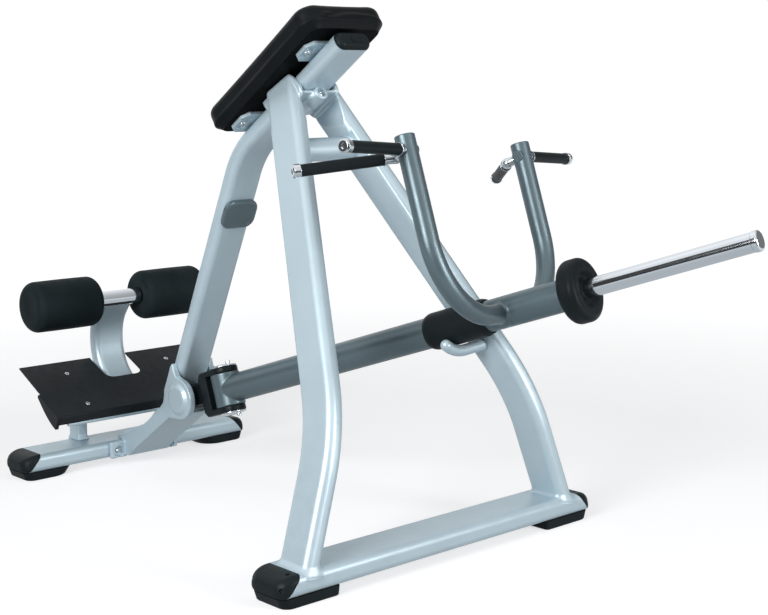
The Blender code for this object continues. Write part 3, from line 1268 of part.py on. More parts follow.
def make_hook(model, root, arm_matrix):
    """Round rod bent under the rest sleeve and welded to the right leg."""
    points, normal = leg_line(1)
    up = (points[2] - points[1]).normalized()
    origin = arm_matrix.translation
    along = arm_matrix.col[0].xyz
    rest = 0.5 * (REST_SLEEVE_START + REST_SLEEVE_END)
    axis = origin + along * rest
    clear = REST_SLEEVE_RADIUS + HOOK_CLEARANCE + HOOK_RADIUS
    steps = 9
    turns = [HOOK_TIP_ANGLE + (HOOK_ROOT_ANGLE - HOOK_TIP_ANGLE) * step / steps for step in range(steps + 1)]

    def seat(angle, drop):
        """Offset from the arm's axis to the rod's centre line."""
        return Vector((0, HOOK_CRADLE * sin(angle), HOOK_CRADLE * (1 - cos(angle)) - drop))

    drop = clear
    for _ in range(20):
        drop += max(clear - seat(turn, drop).cross(along).length for turn in turns)
        leg = points[1] + up * ((axis.z - drop - points[1].z) / up.z)
        axis = origin + along * ((leg.x - origin.x) / along.x)
    stations = [(axis + seat(turn, drop), Vector((0, cos(turn), sin(turn)))) for turn in turns]
    place, direction = stations[-1]
    stations.append((place + direction * 0.2, direction))
    across = Vector((1, 0, 0))
    rings = []
    tip, heading = stations[0]
    for angle in (80, 60, 40, 20):
        turn = radians(angle)
        station = (tip - heading * HOOK_RADIUS * sin(turn), heading)
        rings += sweep([station], across, circle(HOOK_RADIUS * cos(turn), HANDLE_STEPS))
    rings += sweep(stations, across, circle(HOOK_RADIUS, HANDLE_STEPS))
    bm = bmesh.new()
    made = [add_ring(bm, ring) for ring in rings]
    for first, second in zip(made, made[1:]):
        join_rings(bm, first, second)
    bm.faces.new(made[0])
    face = points[1] - normal * (HALF_TUBE + GAP)
    everything = bm.verts[:] + bm.edges[:] + bm.faces[:]
    bmesh.ops.bisect_plane(bm, geom=everything, plane_co=face, plane_no=normal, clear_outer=True)
    bmesh.ops.holes_fill(bm, edges=[edge for edge in bm.edges if edge.is_boundary])
    model.add("rest_hook", bm, "silver paint", root)


def stand_on_origin(root):
    """Put the origin on the floor under the middle of the machine's box."""
    bpy.context.view_layer.update()
    graph = bpy.context.evaluated_depsgraph_get()
    places = []
    for item in bpy.data.objects:
        if item.type == "MESH" and not item.hide_render:
            solid = item.evaluated_get(graph)
            places += [solid.matrix_world @ vertex.co for vertex in solid.to_mesh().vertices]
    middle = [(min(p[k] for p in places) + max(p[k] for p in places)) / 2 for k in range(2)]
    root.location = (-middle[0], -middle[1], -min(p.z for p in places))


def main():
    """Clear the scene and build the machine."""
    for item in list(bpy.data.objects):
        bpy.data.objects.remove(item)
    model = Model()
    root = empty("machine", None, Matrix.Identity(4))
    spine_normal = Vector((-sin(UPPER_ANGLE), 0, cos(UPPER_ANGLE)))
    spine = empty("upper_spine", root, frame_matrix(SPINE_KNEE, SPINE_UP, spine_normal))
    plate = empty("foot_plate_slope", root, frame_matrix(Vector(), SPINE_FRONT_FACE, -SPINE_DOWN))

    make_bar(model, root, "front_base_bar", FRONT_BAR_X, FRONT_BAR_HALF)
    make_bar(model, root, "rear_base_bar", REAR_BAR_X, REAR_BAR_HALF, bolts=True)
    front_foot = (FRONT_FOOT_LENGTH, FRONT_FOOT_ROUND)
    rear_foot = (REAR_FOOT_LENGTH, REAR_FOOT_ROUND)
    for end, x, half, foot in (("front", FRONT_BAR_X, FRONT_BAR_HALF, front_foot),
                               ("rear", REAR_BAR_X, REAR_BAR_HALF, rear_foot)):
        for hand, side in (("left", -1), ("right", 1)):
            make_bar_cap(model, root, f"{end}_{hand}_end_cap", x, half, side)
            make_foot(model, root, f"{end}_{hand}_foot", x, half, side, *foot)
    make_leg(model, root, spine, "left_leg", -1)
    make_leg(model, root, spine, "right_leg", 1)
    make_spine(model, root, spine)
    make_saddle(model, spine)
    make_brace(model, root)
    make_badge(model, root)
    make_pad(model, spine)
    make_rollers(model, root)
    make_post(model, root)
    make_foot_frame(model, root, plate)
    make_foot_plate(model, root, plate)
    make_casting(model, root)

    pitch = Matrix.Translation((PIVOT_X, 0, PIVOT_Z)) @ Matrix.Rotation(-ARM_PITCH, 4, "Y")
    clevis = empty("arm_pitch_axis", root, pitch)
    swing = Matrix.Translation((PIN_AHEAD, 0, -PIN_BELOW)) @ Matrix.Rotation(ARM_SWING, 4, "Z")
    arm = empty("arm_swing_axis", clevis, swing)
    make_clevis(model, clevis)
    make_arm(model, arm)
    for hand, side in (("left", -1), ("right", 1)):
        make_prong(model, arm, hand, side)
    make_handles(model, arm)
    make_hook(model, root, pitch @ swing)
    stand_on_origin(root)


main()
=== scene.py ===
"""Looks of the t-bar row machine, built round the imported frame.

Metres, +Z up, in the frame's own coordinates. Each piece is made in one of
the machine's local frames and stays where the CAD node that it stands for is.
"""
from math import cos, pi, radians, sin, sqrt

import bmesh
import bpy
import numpy as np
from mathutils import Matrix, Vector
from mathutils.bvhtree import BVHTree


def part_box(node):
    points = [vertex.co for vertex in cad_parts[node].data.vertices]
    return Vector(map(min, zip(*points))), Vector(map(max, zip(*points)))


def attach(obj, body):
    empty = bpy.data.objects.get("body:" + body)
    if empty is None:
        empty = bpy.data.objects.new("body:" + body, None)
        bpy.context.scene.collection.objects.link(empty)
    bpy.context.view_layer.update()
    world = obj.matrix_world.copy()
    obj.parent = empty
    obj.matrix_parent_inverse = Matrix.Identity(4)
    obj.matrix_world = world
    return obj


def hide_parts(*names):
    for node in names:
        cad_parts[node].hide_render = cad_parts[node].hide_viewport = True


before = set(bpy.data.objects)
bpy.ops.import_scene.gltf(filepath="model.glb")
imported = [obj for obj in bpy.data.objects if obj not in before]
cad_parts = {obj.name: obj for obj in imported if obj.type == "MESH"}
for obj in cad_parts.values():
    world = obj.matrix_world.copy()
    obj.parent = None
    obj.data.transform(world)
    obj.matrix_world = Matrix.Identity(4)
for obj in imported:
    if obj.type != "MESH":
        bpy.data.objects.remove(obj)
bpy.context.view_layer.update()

# Sizes of the machine, as in the CAD source
GAP = 0.0003
TUBE_WIDTH, TUBE_DEPTH, TUBE_CORNER = 0.1125, 0.0505, 0.021
BAR_WIDTH, BAR_HEIGHT, BAR_CORNER = 0.141, 0.0535, 0.0182
FOOT_HEIGHT = 0.026
FRONT_BAR_X, REAR_BAR_X = 0.712, -0.712
FRONT_BAR_HALF, REAR_BAR_HALF = 0.518, 0.386
SEAM_SLOPE = 0.86
CAP_LENGTH, CAP_SIDE_ROUND, CAP_TOP_ROUND, CAP_BOTTOM_ROUND = 0.038, 0.034, 0.028, 0.005
CAP_HOLE_RADIUS, CAP_HOLE_DEPTH = 0.0058, 0.006
FOOT_INSET, FOOT_OVERHANG, FOOT_TAPER, FOOT_OUTER_ROUND = 0.008, 0.033, 0.009, 0.024
FRONT_FOOT_LENGTH, FRONT_FOOT_ROUND = 0.181, 0.010
REAR_FOOT_LENGTH, REAR_FOOT_ROUND = 0.180, 0.055
LEG_BASE = (0.7181, 0.4497, 0.0903)
LEG_KNEE = (0.6963, 0.3479, 0.3845)
LEG_HEAD = (0.2120, 0.0675, 1.1637)
LEG_BEND_RADIUS = 0.50
KNEE_X, KNEE_Z = -0.0437, 1.0193
LOWER_ANGLE, UPPER_ANGLE = radians(65.06), radians(33.77)
SPINE_LOWER, SPINE_UPPER, SPINE_BEND_RADIUS = 0.882, 0.538, 0.25
SPINE_CAP_HEIGHT, SPINE_CAP_BOSS = 0.016, 0.011
PLATE_WALL, CHEEK_REAR, CHEEK_FRONT, CHEEK_NOSE = 0.0118, 0.204, 0.352, 0.012
CHEEK_TOP, CHEEK_BOTTOM, WEB_THICKNESS, WEB_HOLLOW, WEB_BACK = 0.033, 0.043, 0.0092, 0.018, 0.048
HEAD_BOSS_RADIUS, HEAD_BOSS_START, HEAD_RECESS_RADIUS = 0.021, 0.312, 0.0130
HEAD_BOSS_ALONG, HEAD_BOSS_BELOW, HEAD_RECESS_DEPTH = 0.366, 0.040, 0.009
FAIRING_START, FAIRING_LENGTH, FAIRING_WIDE, FAIRING_TALL, FAIRING_DROP = 0.250, 0.110, 0.054, 0.004, 0.031
STUB_LENGTH, LEG_TOP_DROP = 0.170, 0.016
BRACE_RADIUS, BRACE_Z = 0.032, 1.036
BADGE_TOP, BADGE_BOTTOM, BADGE_HALF, BADGE_THICKNESS, BADGE_CORNER = 0.143, 0.232, 0.058, 0.013, 0.030
PAD_WIDTH, PAD_START, PAD_END, PAD_CORNER, PAD_TOP = 0.286, 0.035, 0.569, 0.051, 0.1105
PAD_BOARD_THICKNESS, PAD_TOP_ROUND, PAD_BOARD_INSET = 0.012, 0.0235, 0.020
PAD_PLATE_THICKNESS, PAD_PLATE_HALF, PAD_PLATE_CORNER, PAD_BOLT_Y = 0.009, 0.100, 0.020, 0.080
PAD_PLATES = (("upper", 0.412, 0.082), ("lower", 0.066, 0.091))
ROLLER_X, ROLLER_Z, ROLLER_RADIUS = -0.7718, 0.5188, 0.0807
ROLLER_INNER, ROLLER_OUTER, ROLLER_ROUND = 0.081, 0.3178, 0.026
AXLE_SLEEVE_RADIUS, AXLE_RADIUS, ROLLER_END_WALL = 0.026, 0.0125, 0.0138
POST_BACK_X, POST_SHOULDER_Z, POST_BEND_RADIUS, POST_END = -0.838, 0.435, 0.160, -0.690
PLATE_TOP, PLATE_THICKNESS, PLATE_REAR, PLATE_FRONT = -0.062, 0.005, -0.893, -0.6135
PLATE_REAR_HALF, PLATE_FRONT_HALF = 0.325, 0.333
NOTCH_HALF, NOTCH_DEPTH, NOTCH_CORNER = 0.068, 0.120, 0.030
PLATE_FOLD, LIP_DEPTH, FLANGE_REAR, FLANGE_BULGE, FLANGE_DEPTH, FLANGE_HEEL = (
    0.008, 0.031, -0.742, 0.006, 0.045, 0.010)
CROSS_HEIGHT = 0.015
REAR_SCREW, FRONT_SCREW = (-0.8255, 0.190), (-0.659, 0.208)
FRAME_BOLT, SHEET_SCREW, LUG_BOLT = (0.010, 0.0055, 0.0045), (0.0075, 0.0014, 0.0032), (0.008, 0.006, 0.004)
SHANK_DEPTH, SHANK_RADIUS = 0.008, 0.0045
PIVOT_X, PIVOT_Z = -0.320, 0.262
LUG_THICKNESS, LUG_BOLT_Y, LUG_BOLT_Z, LUG_POCKET_DEPTH = 0.015, 0.0985, 0.050, 0.008
ARM_PITCH, ARM_SWING = radians(18.92), radians(13.2)
PIN_AHEAD, PIN_BELOW, FORK_GAP, FORK_THICKNESS = 0.1577, 0.0086, 0.100, 0.0175
PIN_RADIUS, PIN_CAP_RADIUS, PIN_CAP_HEIGHT, PIN_CAP_CROWN = 0.015, 0.041, 0.009, 0.020
PIN_LOCK_RADIUS, PIN_LOCK_HEIGHT, PIN_LOCK_AHEAD = 0.007, 0.007, 0.028
ARM_RADIUS, ARM_END, ARM_SPLIT, PIVOT_SLEEVE_RADIUS = 0.0425, 1.228, 0.150, 0.044
REST_SLEEVE_START, REST_SLEEVE_END, REST_SLEEVE_RADIUS = 0.756, 0.945, 0.051
REST_SLEEVE_TAPER, REST_SLEEVE_EDGE = 0.012, 0.0035
BUMPER_START, BUMPER_END, BUMPER_RADIUS, BUMPER_ROUND, BUMPER_RECESS = 1.192, 1.248, 0.084, 0.018, 0.048
HORN_RADIUS, HORN_START, HORN_SEAM, HORN_CAP_RADIUS, HORN_CAP_LENGTH = 0.025, 1.190, 1.695, 0.0265, 0.018
YOKE_STATION, YOKE_HALF, YOKE_RADIUS, YOKE_BEND_RADIUS, YOKE_BASE, YOKE_TOP = (
    0.997, 0.2875, 0.0265, 0.205, -0.005, 0.469)
YOKE_BOSS_RADIUS, YOKE_BOSS_HEIGHT = 0.0165, 0.003
HANDLE_HEIGHT, HANDLE_ROD_RADIUS, HANDLE_NECK_RADIUS = 0.4315, 0.011, 0.0135
HANDLE_RING_RADIUS, HANDLE_RING_WIDTH = 0.0172, 0.004
HANDLE_CAP_RADIUS, HANDLE_CAP_LENGTH, GRIP_RADIUS = 0.0180, 0.020, 0.0154
HEX_RADIUS, HEX_DEPTH = 0.008, 0.004
SIDE_HANDLE_RING, SIDE_HANDLE_END = 0.040, 0.270
REAR_HANDLE_BACK, REAR_HANDLE_IN, REAR_HANDLE_DROP = 0.046, 0.0095, 0.007
REAR_HANDLE_ANGLE, REAR_HANDLE_TILT = radians(51.9), radians(1.9)
REAR_HANDLE_ELBOW, REAR_HANDLE_RING, REAR_HANDLE_END = 0.016, 0.029, 0.270

# Soft forms and fineness of the visual meshes
PAD_BEVEL, PAD_SEAM_INSET, PAD_SIDE_PULL, PAD_CROWN = 0.019, 0.0022, 0.0035, 0.003
DISH_INSET, DISH_HALF, DISH_SLOPE, DISH_DEPTH, DISH_CORNER = 0.026, 0.031, 0.008, 0.005, 0.011
ROLLER_SLACK, YOKE_WELD, YOKE_TOP_ROUND, BRACE_WELD = 0.0006, 0.008, 0.0035, 0.006
POCKET_HALF, POCKET_SLOT = 0.0155, 0.005
CORNER_STEPS = 8
BEND_STEPS = 24
ROUND_STEPS, FINE_STEPS, FACING_STEPS = 72, 96, 48
FILLET_STEPS = 8
PAD_CORNER_STEPS, PAD_SIDE_STEPS, PAD_LEAST_CORNER = 9, (26, 13), 0.006
YOKE_STEPS = 40
SADDLE_VOXEL, SADDLE_ROUNDS = 0.0015, 34
HANDS = (("left", -1), ("right", 1))
WELD_FILLET, EDGE_ROUND = 0.013, 0.0012

# Materials, cushion and studio
COAT_ROUGHNESS, CLOUD_SCALE, CLOUD_ENDS = 0.28, 7.0, (0.35, 0.65)
PATCH_SCALE, PATCH_ENDS, PATCH_LOW, PATCH_HIGH = 45.0, (0.3, 0.7), 0.9, 1.12
CLOTH = {"quality": 6, "mass": 0.4, "tension_stiffness": 18, "compression_stiffness": 18,
         "shear_stiffness": 8, "bending_stiffness": 4, "use_pressure": True, "uniform_pressure_force": 4,
         "vertex_group_mass": "held"}
CLOTH_FRAMES, SWELL_LIMIT, GRIP_HEIGHT = 20, 0.0022, 0.006
CAMERA_PLACE = (3.1068145, -2.7233023, 1.2287)
CAMERA_AZIMUTH, CAMERA_ELEVATION, CAMERA_ROLL = radians(47.55), radians(8.78), radians(-0.28)
CAMERA_LENS, SENSOR_WIDTH = 70.03, 36.0
FLOOR_DROP, FLOOR_GLOW, FLOOR_GLOW_FAR = 0.0005, 0.66, 0.95
FLOOR_IN_METAL, FLOOR_IN_METAL_FAR = 0.60, 0.92
FLOOR_RADIUS, FLOOR_PAINT, FLOOR_TINT, WORLD_TINT = (
    60, (0.45, 0.45, 0.46, 1), (0.93, 0.97, 1.0, 1), (0.90, 0.96, 1.0, 1))
GLOW_ENDS, METAL_ENDS, DARK_ENDS = (1.6, 5.0), (1.2, 2.6), (2.2, 2.6)
LOW_ENDS, FAR_ENDS = (0.08, 0.20), (0.35, 0.90)
WORLD_LIGHT, DARK_LEVEL, FAR_LEVEL = 0.20, 0.04, 0.22
DARK_SIDE, FAR_SIDE, LOW_SIDE = (0.6, -0.8, 0.0), (0.3, 0.95, 0.0), (0.18, -0.96, -1.2)
LAMPS = (
    ("key", (1.3, -4.7, 2.4), (0.0, 0.0, 0.6), (2.2, 2.4), 238),
    ("side", (4.8, 1.4, 1.6), (0.0, 0.0, 0.5), (1.4, 2.2), 140),
    ("top", (-0.5, 0.0, 4.5), (0.0, 0.0, 0.0), (4.0, 4.0), 8),
)

# Values that follow
BAR_Z = FOOT_HEIGHT + GAP + BAR_HEIGHT / 2
BAR_TOP = BAR_Z + BAR_HEIGHT / 2
HALF_TUBE = TUBE_DEPTH / 2
CHEEK_INNER = TUBE_WIDTH / 2 + GAP
CHEEK_OUTER = CHEEK_INNER + PLATE_WALL
PAD_PLATE_LOW = HALF_TUBE + GAP
PAD_LOW = PAD_PLATE_LOW + PAD_PLATE_THICKNESS + GAP
RAIL_TOP = PLATE_TOP - PLATE_THICKNESS - GAP
BAR_FRONT = REAR_BAR_X + BAR_WIDTH / 2 + GAP
PIN_STACK = FORK_GAP / 2 + FORK_THICKNESS
SPINE_KNEE = Vector((KNEE_X, 0, KNEE_Z))
SPINE_DOWN = Vector((-cos(LOWER_ANGLE), 0, -sin(LOWER_ANGLE)))
SPINE_UP = Vector((cos(UPPER_ANGLE), 0, sin(UPPER_ANGLE)))
SPINE_ABOVE = Vector((-sin(UPPER_ANGLE), 0, cos(UPPER_ANGLE)))
SPINE_FRONT_FACE = Vector((sin(LOWER_ANGLE), 0, -cos(LOWER_ANGLE)))
ALONG, ACROSS, UP = Vector((1, 0, 0)), Vector((0, 1, 0)), Vector((0, 0, 1))
TO_X = Matrix.Rotation(pi / 2, 4, "Y")


def quarter(steps):
    """Sine and cosine at even steps through a quarter turn."""
    return [(sin(pi / 2 * k / steps), cos(pi / 2 * k / steps)) for k in range(steps + 1)]


def moved(x, y, z):
    """Matrix of a shift."""
    return Matrix.Translation((x, y, z))


def frame_matrix(origin, along, above):
    """Local frame with X along, Z above and Y across."""
    rows = Matrix((along, above.cross(along), above)).transposed().to_4x4()
    return Matrix.Translation(origin) @ rows


def level_frame(origin, along):
    """Local frame with X along and Y level."""
    across = UP.cross(along).normalized()
    return frame_matrix(origin, along, along.cross(across))


# Local frames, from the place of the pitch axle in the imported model
axle_low, axle_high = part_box("pitch_axle")
WORLD = Matrix.Identity(4)
ROOT = Matrix.Translation((axle_low + axle_high) / 2 - Vector((PIVOT_X, 0, PIVOT_Z)))
SPINE = ROOT @ frame_matrix(SPINE_KNEE, SPINE_UP, SPINE_ABOVE)
SPINE_FRONT = ROOT @ frame_matrix(SPINE_KNEE, SPINE_DOWN, SPINE_FRONT_FACE)
PLATE = ROOT @ frame_matrix(Vector(), SPINE_FRONT_FACE, -SPINE_DOWN)
PITCH = ROOT @ moved(PIVOT_X, 0, PIVOT_Z) @ Matrix.Rotation(-ARM_PITCH, 4, "Y")
ARM = PITCH @ moved(PIN_AHEAD, 0, -PIN_BELOW) @ Matrix.Rotation(ARM_SWING, 4, "Z")


# Materials
def wire(tree, kind, *inputs, output=0, **settings):
    """New shader node with its settings, its inputs set or linked; returns one of its outputs."""
    node = tree.nodes.new(kind)
    for name, value in settings.items():
        setattr(node, name, value)
    for socket, value in inputs:
        if isinstance(value, bpy.types.NodeSocket):
            tree.links.new(value, node.inputs[socket])
        else:
            node.inputs[socket].default_value = value
    return node.outputs[output]


def remap(tree, value, low, high, start, end):
    """Value that runs from start to end while another runs from low to high."""
    return wire(tree, "ShaderNodeMapRange", ("Value", value), ("From Min", low), ("From Max", high),
                ("To Min", start), ("To Max", end))


def texture(tree, kind, scale, detail=3.0):
    """Noise or Voronoi height in the object's own coordinates."""
    place = ("Vector", wire(tree, "ShaderNodeTexCoord", output="Object"))
    if kind == "noise":
        return wire(tree, "ShaderNodeTexNoise", place, ("Scale", scale), ("Detail", detail), output="Fac")
    return wire(tree, "ShaderNodeTexVoronoi", place, ("Scale", scale), output="Distance", feature="SMOOTH_F1")


def make_finish(name, colour, roughness, spread, relief=(), metallic=0.0, coat=0.0, specular=0.5):
    """Finish with broad colour clouds, roughness patches and fine relief (kind, scale, depth in metres)."""
    made = bpy.data.materials.new(name)
    made.use_nodes = True
    made.diffuse_color = (*colour, 1)
    tree = made.node_tree
    shader = tree.nodes["Principled BSDF"]
    for socket, value in (("Metallic", metallic), ("Coat Weight", coat), ("Coat Roughness", COAT_ROUGHNESS),
                          ("Specular IOR Level", specular)):
        shader.inputs[socket].default_value = value
    clouds = tree.nodes.new("ShaderNodeValToRGB")
    for element, place, share in zip(clouds.color_ramp.elements, CLOUD_ENDS, (1 - spread, 1 + spread)):
        element.position = place
        element.color = (*(min(1.0, channel * share) for channel in colour), 1)
    tree.links.new(texture(tree, "noise", CLOUD_SCALE, 4.0), clouds.inputs["Fac"])
    tree.links.new(clouds.outputs["Color"], shader.inputs["Base Color"])
    patches = remap(tree, texture(tree, "noise", PATCH_SCALE), *PATCH_ENDS,
                    roughness * PATCH_LOW, roughness * PATCH_HIGH)
    tree.links.new(patches, shader.inputs["Roughness"])
    below = ()
    for kind, scale, depth in relief:
        normal = wire(tree, "ShaderNodeBump", ("Height", texture(tree, kind, scale)),
                      ("Distance", depth), *below)
        below = (("Normal", normal),)
    if relief:
        tree.links.new(normal, shader.inputs["Normal"])
    return made


FINISHES = {
    "silver_paint": make_finish("silver_powder_coat", (0.49, 0.605, 0.665), 0.41, 0.025,
                                (("noise", 420.0, 0.00004), ("noise", 1500.0, 0.00001)),
                                metallic=0.40),
    "grey_paint": make_finish("grey_powder_coat", (0.112, 0.158, 0.178), 0.36, 0.04,
                              (("noise", 420.0, 0.00004), ("noise", 1500.0, 0.00001)),
                              metallic=0.50, coat=0.06),
    "black_paint": make_finish("black_powder_coat", (0.007, 0.011, 0.013), 0.34, 0.15,
                               (("noise", 380.0, 0.00006),), specular=0.15),
    "black_sheet": make_finish("black_sheet_metal", (0.009, 0.012, 0.014), 0.50, 0.2,
                               (("noise", 300.0, 0.00010), ("voronoi", 900.0, 0.00006)), specular=0.18),
    "black_plastic": make_finish("moulded_black_plastic", (0.010, 0.015, 0.017), 0.42, 0.15,
                                 (("voronoi", 1100.0, 0.00006),), specular=0.10),
    "rubber": make_finish("black_rubber", (0.009, 0.013, 0.015), 0.46, 0.2,
                          (("noise", 250.0, 0.00008), ("noise", 1200.0, 0.00004)), specular=0.10),
    "upholstery": make_finish("black_vinyl", (0.0045, 0.0065, 0.0075), 0.42, 0.2,
                              (("noise", 40.0, 0.00025), ("voronoi", 650.0, 0.00010)), specular=0.10),
    "roller_foam": make_finish("skinned_foam", (0.0135, 0.020, 0.0225), 0.50, 0.2,
                               (("noise", 60.0, 0.00020), ("voronoi", 420.0, 0.00010)), specular=0.03),
    # Black board, set darker than the other blacks as painted shade under the chest pad
    "board": make_finish("black_board_darkened_as_painted_shade", (0.0018, 0.0026, 0.0030), 0.62, 0.2,
                         (("noise", 55.0, 0.00030), ("voronoi", 380.0, 0.00012)), specular=0.04),
    "chrome": make_finish("bright_chrome", (0.70, 0.745, 0.79), 0.11, 0.015, metallic=1.0),
    "steel": make_finish("turned_steel", (0.62, 0.66, 0.69), 0.20, 0.03, metallic=1.0),
}


# Building helpers
def new_object(bm, name="scratch"):
    """Object in the scene from a bmesh."""
    mesh = bpy.data.meshes.new(name)
    bm.to_mesh(mesh)
    bm.free()
    item = bpy.data.objects.new(name, mesh)
    bpy.context.scene.collection.objects.link(item)
    return item


def add(name, bm, finish, node, body="frame", matrix=ROOT, sharp=38, round_edges=0.0):
    """Piece from a bmesh in a local frame, riding on its body in the place of a node."""
    bmesh.ops.recalc_face_normals(bm, faces=bm.faces)
    item = new_object(bm, name)
    mesh = item.data
    mesh.transform(matrix)
    mesh.materials.append(FINISHES[finish])
    mesh.shade_smooth()
    if round_edges:
        modifier = item.modifiers.new("round edges", "BEVEL")
        modifier.width = round_edges
        modifier.segments = 3
        modifier.limit_method = "ANGLE"
        modifier.angle_limit = radians(sharp)
    elif sharp:
        mesh.set_sharp_from_angle(angle=radians(sharp))
    if sharp:
        modifier = item.modifiers.new("weighted normals", "WEIGHTED_NORMAL")
        modifier.keep_sharp = True
    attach(item, body)
    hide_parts(node)
    return item


def finished_mesh(item):
    """The object's mesh with its modifiers applied, as a bmesh; the object is removed."""
    graph = bpy.context.evaluated_depsgraph_get()
    done = bpy.data.meshes.new_from_object(item.evaluated_get(graph))
    bm = bmesh.new()
    bm.from_mesh(done)
    bpy.data.objects.remove(item)
    bpy.data.meshes.remove(done)
    return bm


def fused(bm, voxel, rounds):
    """Skin round all the solids of a bmesh, with soft edges and filleted joints."""
    item = new_object(bm)
    remesh = item.modifiers.new("skin", "REMESH")
    remesh.mode = "VOXEL"
    remesh.voxel_size = voxel
    smooth = item.modifiers.new("soften", "SMOOTH")
    smooth.iterations = rounds
    return finished_mesh(item)


def carved(bm, *cutters):
    """The body of a bmesh less its cutters."""
    for body in (bm, *cutters):
        bmesh.ops.recalc_face_normals(body, faces=body.faces)
    item = new_object(bm)
    tools = [new_object(cutter) for cutter in cutters]
    for tool in tools:
        cut = item.modifiers.new("cut", "BOOLEAN")
        cut.operation = "DIFFERENCE"
        cut.object = tool
    done = finished_mesh(item)
    for tool in tools:
        bpy.data.objects.remove(tool)
    return done


def cut_off(bm, place, normal):
    """Take away what lies beyond a plane and close the cut."""
    bmesh.ops.bisect_plane(bm, geom=bm.verts[:] + bm.edges[:] + bm.faces[:], plane_co=place, plane_no=normal,
                           clear_outer=True)
    bmesh.ops.holes_fill(bm, edges=[edge for edge in bm.edges if edge.is_boundary])


def dimple(bm, outside, inward):
    """Cutter for a cap's round hole, square to the surface that a line from outside meets."""
    bmesh.ops.recalc_face_normals(bm, faces=bm.faces)
    place, normal, _, _ = BVHTree.FromBMesh(bm).ray_cast(Vector(outside), Vector(inward).normalized())
    turn = normal.to_track_quat("Z", "Y").to_matrix().to_4x4()
    low, high = -CAP_HOLE_DEPTH, CAP_HOLE_DEPTH
    hole = soften([(low, 0.0), (low, CAP_HOLE_RADIUS), (high, CAP_HOLE_RADIUS), (high, 0.0)], 0.0015)
    return placed(turned(hole, "Z", 32), Matrix.Translation(place) @ turn)


def cad_copy(node):
    """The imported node's mesh, joined up, in the frame's own coordinates."""
    bm = bmesh.new()
    bm.from_mesh(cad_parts[node].data)
    bmesh.ops.remove_doubles(bm, verts=bm.verts, dist=0.00002)
    return bm


def merge(*parts):
    """One bmesh with the solids of several."""
    whole = bmesh.new()
    for part in parts:
        mesh = bpy.data.meshes.new("scratch")
        part.to_mesh(mesh)
        part.free()
        whole.from_mesh(mesh)
        bpy.data.meshes.remove(mesh)
    return whole


def placed(bm, matrix):
    """The bmesh moved by a matrix."""
    bmesh.ops.transform(bm, matrix=matrix, verts=bm.verts)
    return bm


def rounded(width, depth, corner, steps=CORNER_STEPS):
    """Outline of a rectangle with round corners, counter-clockwise."""
    corner = min(corner, 0.499 * width, 0.499 * depth)
    points = []
    for count, (sx, sy) in enumerate(((1, 1), (-1, 1), (-1, -1), (1, -1))):
        for step in range(steps + 1):
            angle = (count + step / steps) * pi / 2
            points.append((sx * (width / 2 - corner) + corner * cos(angle),
                           sy * (depth / 2 - corner) + corner * sin(angle)))
    return points


def circle(radius, steps=ROUND_STEPS):
    """Outline of a circle."""
    return [(radius * cos(2 * pi * k / steps), radius * sin(2 * pi * k / steps)) for k in range(steps)]


def arc(centre, radius, start, end, steps):
    """Points of an arc, angles in radians."""
    turns = [start + (end - start) * step / steps for step in range(steps + 1)]
    return [(centre[0] + radius * cos(turn), centre[1] + radius * sin(turn)) for turn in turns]


def bridge(bm, first, second):
    """Faces between two rings, either of which may be one point."""
    for k in range(max(len(first), len(second))):
        corners = [ring[(k + step) % len(ring)] for ring, step in
                   ((first, 0), (first, 1), (second, 1), (second, 0))]
        bm.faces.new(dict.fromkeys(corners))


def loft(rings):
    """Closed body through a list of rings."""
    bm = bmesh.new()
    made = [[bm.verts.new(point) for point in ring] for ring in rings]
    for first, second in zip(made, made[1:]):
        bridge(bm, first, second)
    bm.faces.new(made[0])
    bm.faces.new(made[-1])
    return bm


def slab(outline, low, high):
    """Flat plate: an outline in X and Y, from low to high along Z."""
    return loft([[(x, y, z) for x, y in outline] for z in (low, high)])


def side_plate(outline, low, high):
    """Flat plate: an outline in X and Z, between two places on Y."""
    return loft([[(x, y, z) for x, z in outline] for y in sorted((low, high))])


def box(low, high):
    """Block between two corners."""
    outline = [(low[0], low[1]), (high[0], low[1]), (high[0], high[1]), (low[0], high[1])]
    return slab(outline, low[2], high[2])


def soften(profile, radius, steps=4):
    """Round each inner corner of a profile of (distance, radius) points."""
    points = [Vector(point) for point in profile]
    made = [profile[0]]
    for before, corner, after in zip(points, points[1:], points[2:]):
        back, on = before - corner, after - corner
        reach = min(radius, 0.45 * back.length, 0.45 * on.length)
        start, end = corner + back.normalized() * reach, corner + on.normalized() * reach
        for step in range(steps + 1):
            share = step / steps
            blend = start * (1 - share) ** 2 + corner * 2 * share * (1 - share) + end * share ** 2
            made.append((blend.x, max(blend.y, 0.0)))
    return made + [profile[-1]]


def turned(profile, axis="X", steps=ROUND_STEPS, closed=False):
    """Body turned about an axis from (distance, radius) points; a third value makes a hexagon."""
    bm = bmesh.new()
    orders = {"X": lambda d, a, b: (d, a, b), "Y": lambda d, a, b: (b, d, a), "Z": lambda d, a, b: (a, b, d)}
    rings = []
    for distance, radius, *hexagon in profile:
        ring = []
        for k in range(steps if radius > 1e-7 else 1):
            angle = 2 * pi * k / steps
            reach = radius * cos(pi / 6) / cos(angle % (pi / 3) - pi / 6) if hexagon else radius
            ring.append(bm.verts.new(orders[axis](distance, reach * cos(angle), reach * sin(angle))))
        rings.append(ring)
    for first, second in zip(rings, rings[1:] + rings[:closed]):
        if len(first) + len(second) > 2:
            bridge(bm, first, second)
    for ring in () if closed else (rings[0], rings[-1]):
        if len(ring) > 1:
            bm.faces.new(ring)
    return bm


def spun(profile, axis="X", steps=ROUND_STEPS):
    """Solid turned from a profile, with a flat face at each end."""
    return turned([(profile[0][0], 0)] + profile + [(profile[-1][0], 0)], axis, steps)


